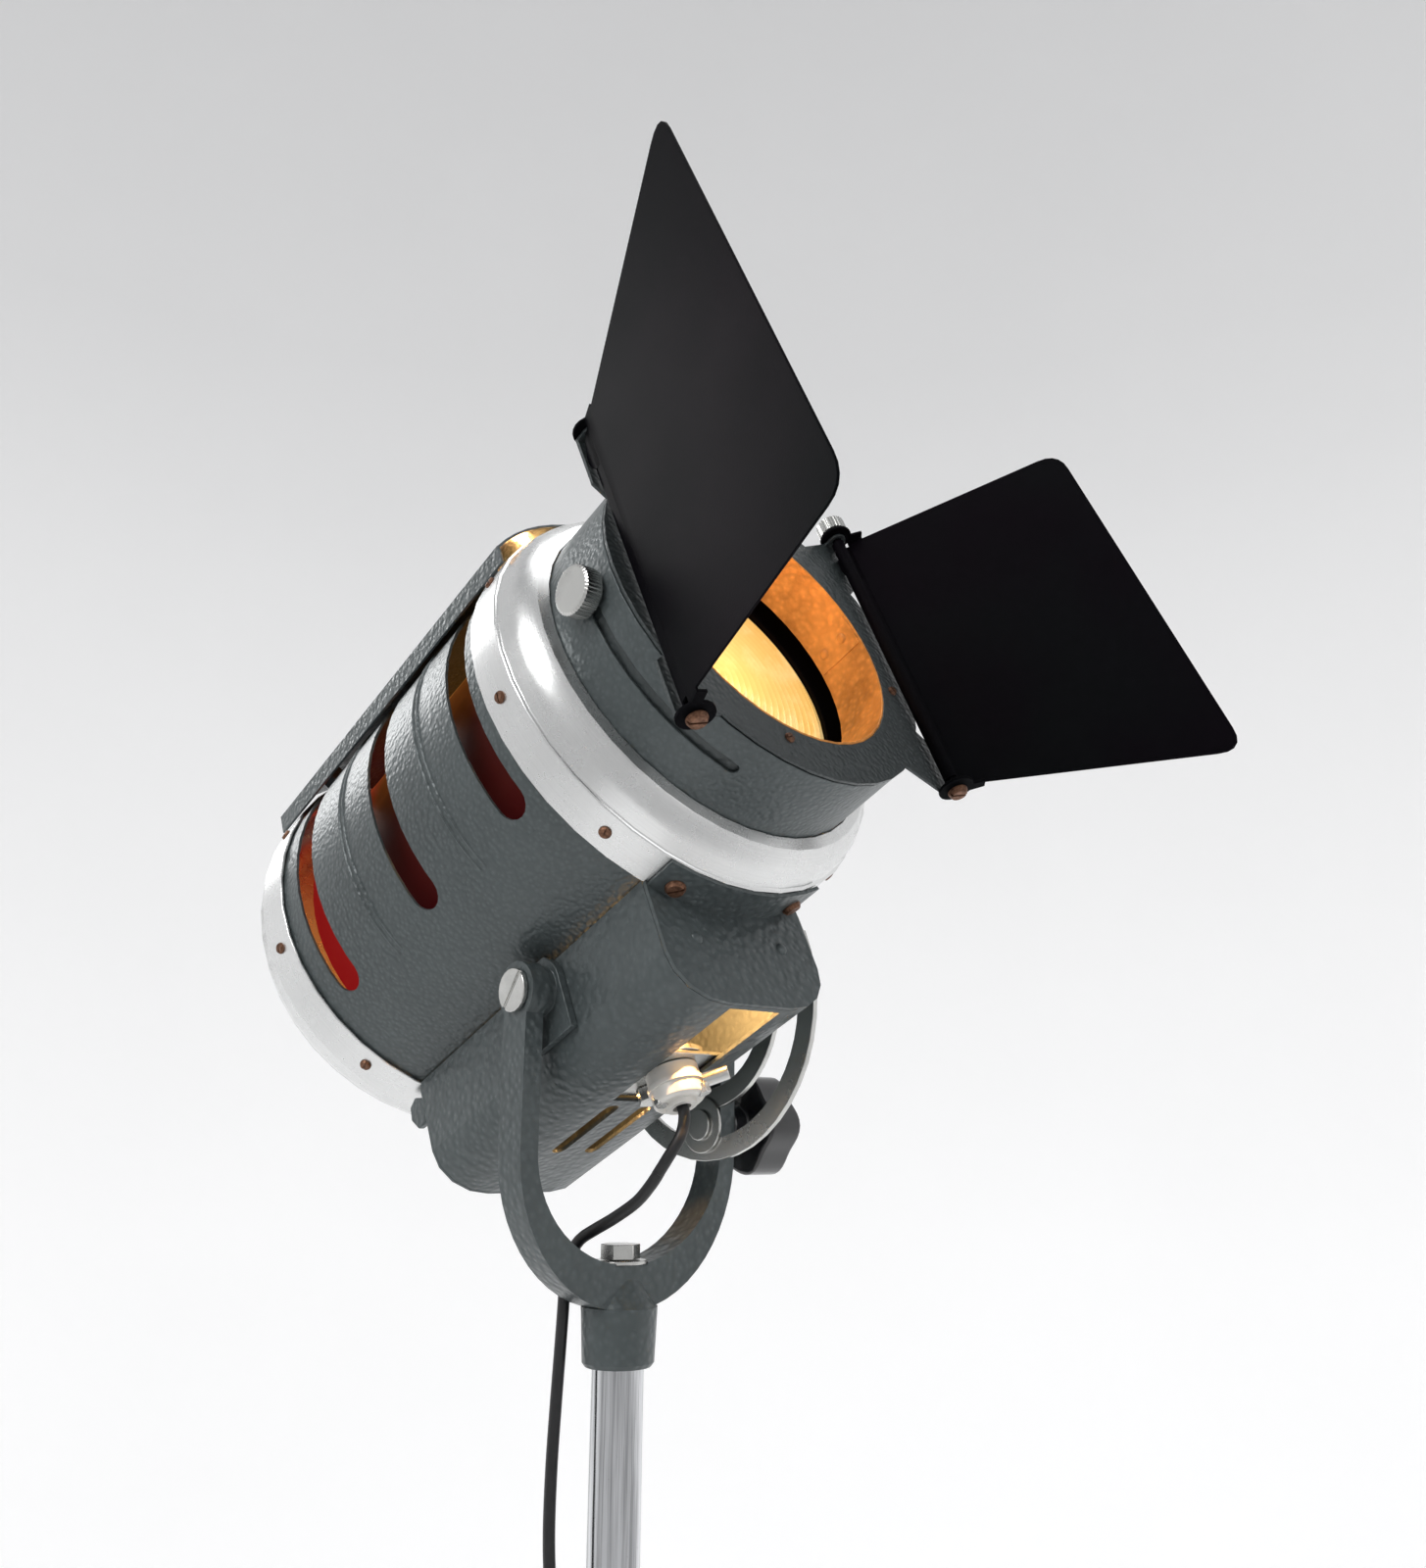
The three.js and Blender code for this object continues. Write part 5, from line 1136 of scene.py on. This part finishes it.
class SPOTLIGHT_OT_doors(bpy.types.Operator):
    """Turning door ring with its collar, hinges, leaves and thumb screws"""

    bl_idname = "spotlight.doors"
    bl_label = "Barn doors"
    bl_options = {"REGISTER", "UNDO"}

    def execute(self, context):
        # the door plate takes the enamel darkened as painted shade
        refined("door_plate", "painted_shade_enamel", 0.3 * MM)
        refined("light_collar", "painted_light_collar", 0.2 * MM)
        for side in ("left", "right"):
            refined(f"{side}_leaf", "leaf", 0.3 * MM)
            refined(f"{side}_hinge_rod", "leaf", 0.3 * MM)
            self.hinge_screw(side)
            self.hinge_barrel(side)
        self.ring_knob()
        self.hinge_nut()
        self.collar_seam()
        self.plate_screws()
        return {"FINISHED"}

    def leaf_frame(self, side):
        """The leaf's hinge as a matrix: X out along the plate, Y square to it on the plate's side, Z up."""
        joint = joints[f"{side}_leaf_swing"]
        middle = Vector(joint["pos_m"])
        mesh = nodes[f"{side}_leaf"].data
        widest = max(mesh.polygons, key=lambda face: face.area)
        square = widest.normal.copy()
        centre = sum((vertex.co for vertex in mesh.vertices), Vector()) / len(mesh.vertices) - middle
        if square.dot(widest.center - middle) < 0:
            square.negate()
        along = HEAD_UP.cross(square)
        if along.dot(centre) < 0:
            along.negate()
        matrix = Matrix((along, square, HEAD_UP)).transposed().to_4x4()
        matrix.translation = middle
        return matrix

    def hinge_barrel(self, side):
        """The leaf's near edge rolled round its rod, and the half-round ear at the top of the hinge."""
        low, high = head_span(f"{side}_hinge_rod")
        half = (high.z - low.z) / 2 - BARREL_SHORT
        inner = (high.x - low.x) / 2 + BARREL_CLEAR
        near, far = LEAF_PLANE - BARREL_WALL / 2, LEAF_PLANE + BARREL_WALL / 2
        inside = [(8 * MM, near), (3.4 * MM, near), *arc(inner, 78, 228, 12)]
        outside = [(8 * MM, far), (2.2 * MM, far), *arc(inner + BARREL_WALL, 78, 228, 12)]
        mesh = bmesh.new()
        matrix = self.leaf_frame(side)
        prism(mesh, outside + inside[::-1], -half, half, matrix)
        ear = [(9 * MM + x, half - 12.5 * MM + y) for x, y in arc(EAR_RADIUS, 80, 200, 16)]
        upright = matrix @ Matrix(((1, 0, 0, 0), (0, 0, 1, 0), (0, 1, 0, 0), (0, 0, 0, 1)))
        prism(mesh, ear, near, far, upright)
        settle(mesh, f"{side}_leaf_barrel", "leaf", f"{side}_leaf")

    def hinge_screw(self, side):
        node = f"{side}_hinge_screw"
        low, high = head_span(node)
        radius = (high.x - low.x) / 2
        matrix = standing_on(in_head((low.x + high.x) / 2, (low.y + high.y) / 2, high.z), -HEAD_UP, 25)
        mesh = bmesh.new()
        slotted_head(mesh, radius, high.z - low.z, matrix)
        piece = settle(mesh, f"{side}_hinge_pin_head", "brass", "door_ring")
        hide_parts(node)

    def ring_knob(self):
        low, high = head_span("ring_knob")
        axis = Vector(joints["ring_knob_turn"]["axis"])
        middle = Vector(joints["ring_knob_turn"]["pos_m"])
        reach = max((vertex.co - middle).dot(axis) for vertex in nodes["ring_knob"].data.vertices)
        radius = (high.y - low.y) / 2
        matrix = standing_on(middle, axis)
        mesh = bmesh.new()
        knurled_disc(mesh, radius, reach - KNOB_RIM, reach, matrix, 40, 0.4 * MM, 1.4 * MM)
        shank = 2.4 * MM
        foot, neck = reach - (high.x - low.x), reach - 9 * MM
        solid_of_revolution(mesh, [(0, foot), (shank, foot), (shank, neck), (0, neck)], matrix, 16)
        piece = settle(mesh, "ring_thumb_knob", "steel", "ring_knob")
        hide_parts("ring_knob")

    def hinge_nut(self):
        low, high = head_span("right_hinge_nut")
        radius = (high.x - low.x) / 2
        matrix = standing_on(in_head((low.x + high.x) / 2, (low.y + high.y) / 2, low.z), HEAD_UP)
        mesh = bmesh.new()
        knurled_disc(mesh, radius, 0, high.z - low.z, matrix, 26, 0.4 * MM, 1.2 * MM)
        piece = settle(mesh, "hinge_thumb_nut", "steel", "right_hinge_nut")
        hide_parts("right_hinge_nut")

    def collar_seam(self):
        """The collar's lapped joint and its two rivets, on the right."""
        low, high = head_span("light_collar")
        radius = (high.x - low.x) / 2 - LAP_INSET
        section = [(radius, low.y + LAP_INSET), (radius, high.y - LAP_INSET),
                   (radius - LAP_WALL, high.y - LAP_INSET), (radius - LAP_WALL, low.y + LAP_INSET)]
        mesh = bmesh.new()
        steps = 6
        rows = []
        for step in range(steps + 1):
            angle = LAP_FROM + LAP_SWEEP * step / steps
            rows.append([mesh.verts.new(round_about_axis(r, forward, angle)) for r, forward in section])
        skin(mesh, rows)
        for forward in (low.y + 8 * MM, high.y - 9 * MM):
            place = round_about_axis(radius - 0.8 * MM, forward, LAP_RIVETS)
            inward = in_head(0, forward, OPTICAL_RISE) - place
            domed_rivet(mesh, 3.0 * MM, 1.3 * MM, standing_on(place, inward))
        settle(mesh, "collar_lap", "painted_light_collar", "door_ring")

    def plate_screws(self):
        """Small screws round the front face of the door plate."""
        face = head_span("light_collar")[1].y
        mesh = bmesh.new()
        for angle in PLATE_SCREW_ANGLES:
            place = round_about_axis(PLATE_SCREW_CIRCLE, face, angle)
            slotted_head(mesh, 2.6 * MM, 1.5 * MM, standing_on(place, FORWARD, angle * 1.7))
        settle(mesh, "plate_screws", "brass", "door_ring")


class SPOTLIGHT_PT_panel(bpy.types.Panel):
    """Lists the building steps and the sizes and colours"""

    bl_idname = "SPOTLIGHT_PT_panel"
    bl_label = "Fresnel spotlight"
    bl_space_type = "VIEW_3D"
    bl_region_type = "UI"
    bl_category = "Spotlight"

    def draw(self, context):
        for step in STEPS:
            self.layout.operator(step.bl_idname)
        for group in (context.scene.spotlight_sizes, context.scene.spotlight_colours):
            box = self.layout.box()
            for key in group.__annotations__:
                box.prop(group, key)


STEPS = (
    SPOTLIGHT_OT_stage,
    SPOTLIGHT_OT_cord,
    SPOTLIGHT_OT_drum,
    SPOTLIGHT_OT_hood,
    SPOTLIGHT_OT_nose,
    SPOTLIGHT_OT_lamp_box,
    SPOTLIGHT_OT_lamp,
    SPOTLIGHT_OT_yoke,
    SPOTLIGHT_OT_doors,
)
CLASSES = (SpotlightSizes, SpotlightColours, *STEPS, SPOTLIGHT_PT_panel)


def register():
    for each in CLASSES:
        bpy.utils.register_class(each)
    bpy.types.Scene.spotlight_sizes = PointerProperty(type=SpotlightSizes)
    bpy.types.Scene.spotlight_colours = PointerProperty(type=SpotlightColours)


def unregister():
    del bpy.types.Scene.spotlight_colours
    del bpy.types.Scene.spotlight_sizes
    for each in reversed(CLASSES):
        bpy.utils.unregister_class(each)


def main():
    register()
    for step in STEPS:
        group, name = step.bl_idname.split(".")
        getattr(getattr(bpy.ops, group), name)()
    bpy.context.view_layer.update()


if __name__ == "__main__":
    main()
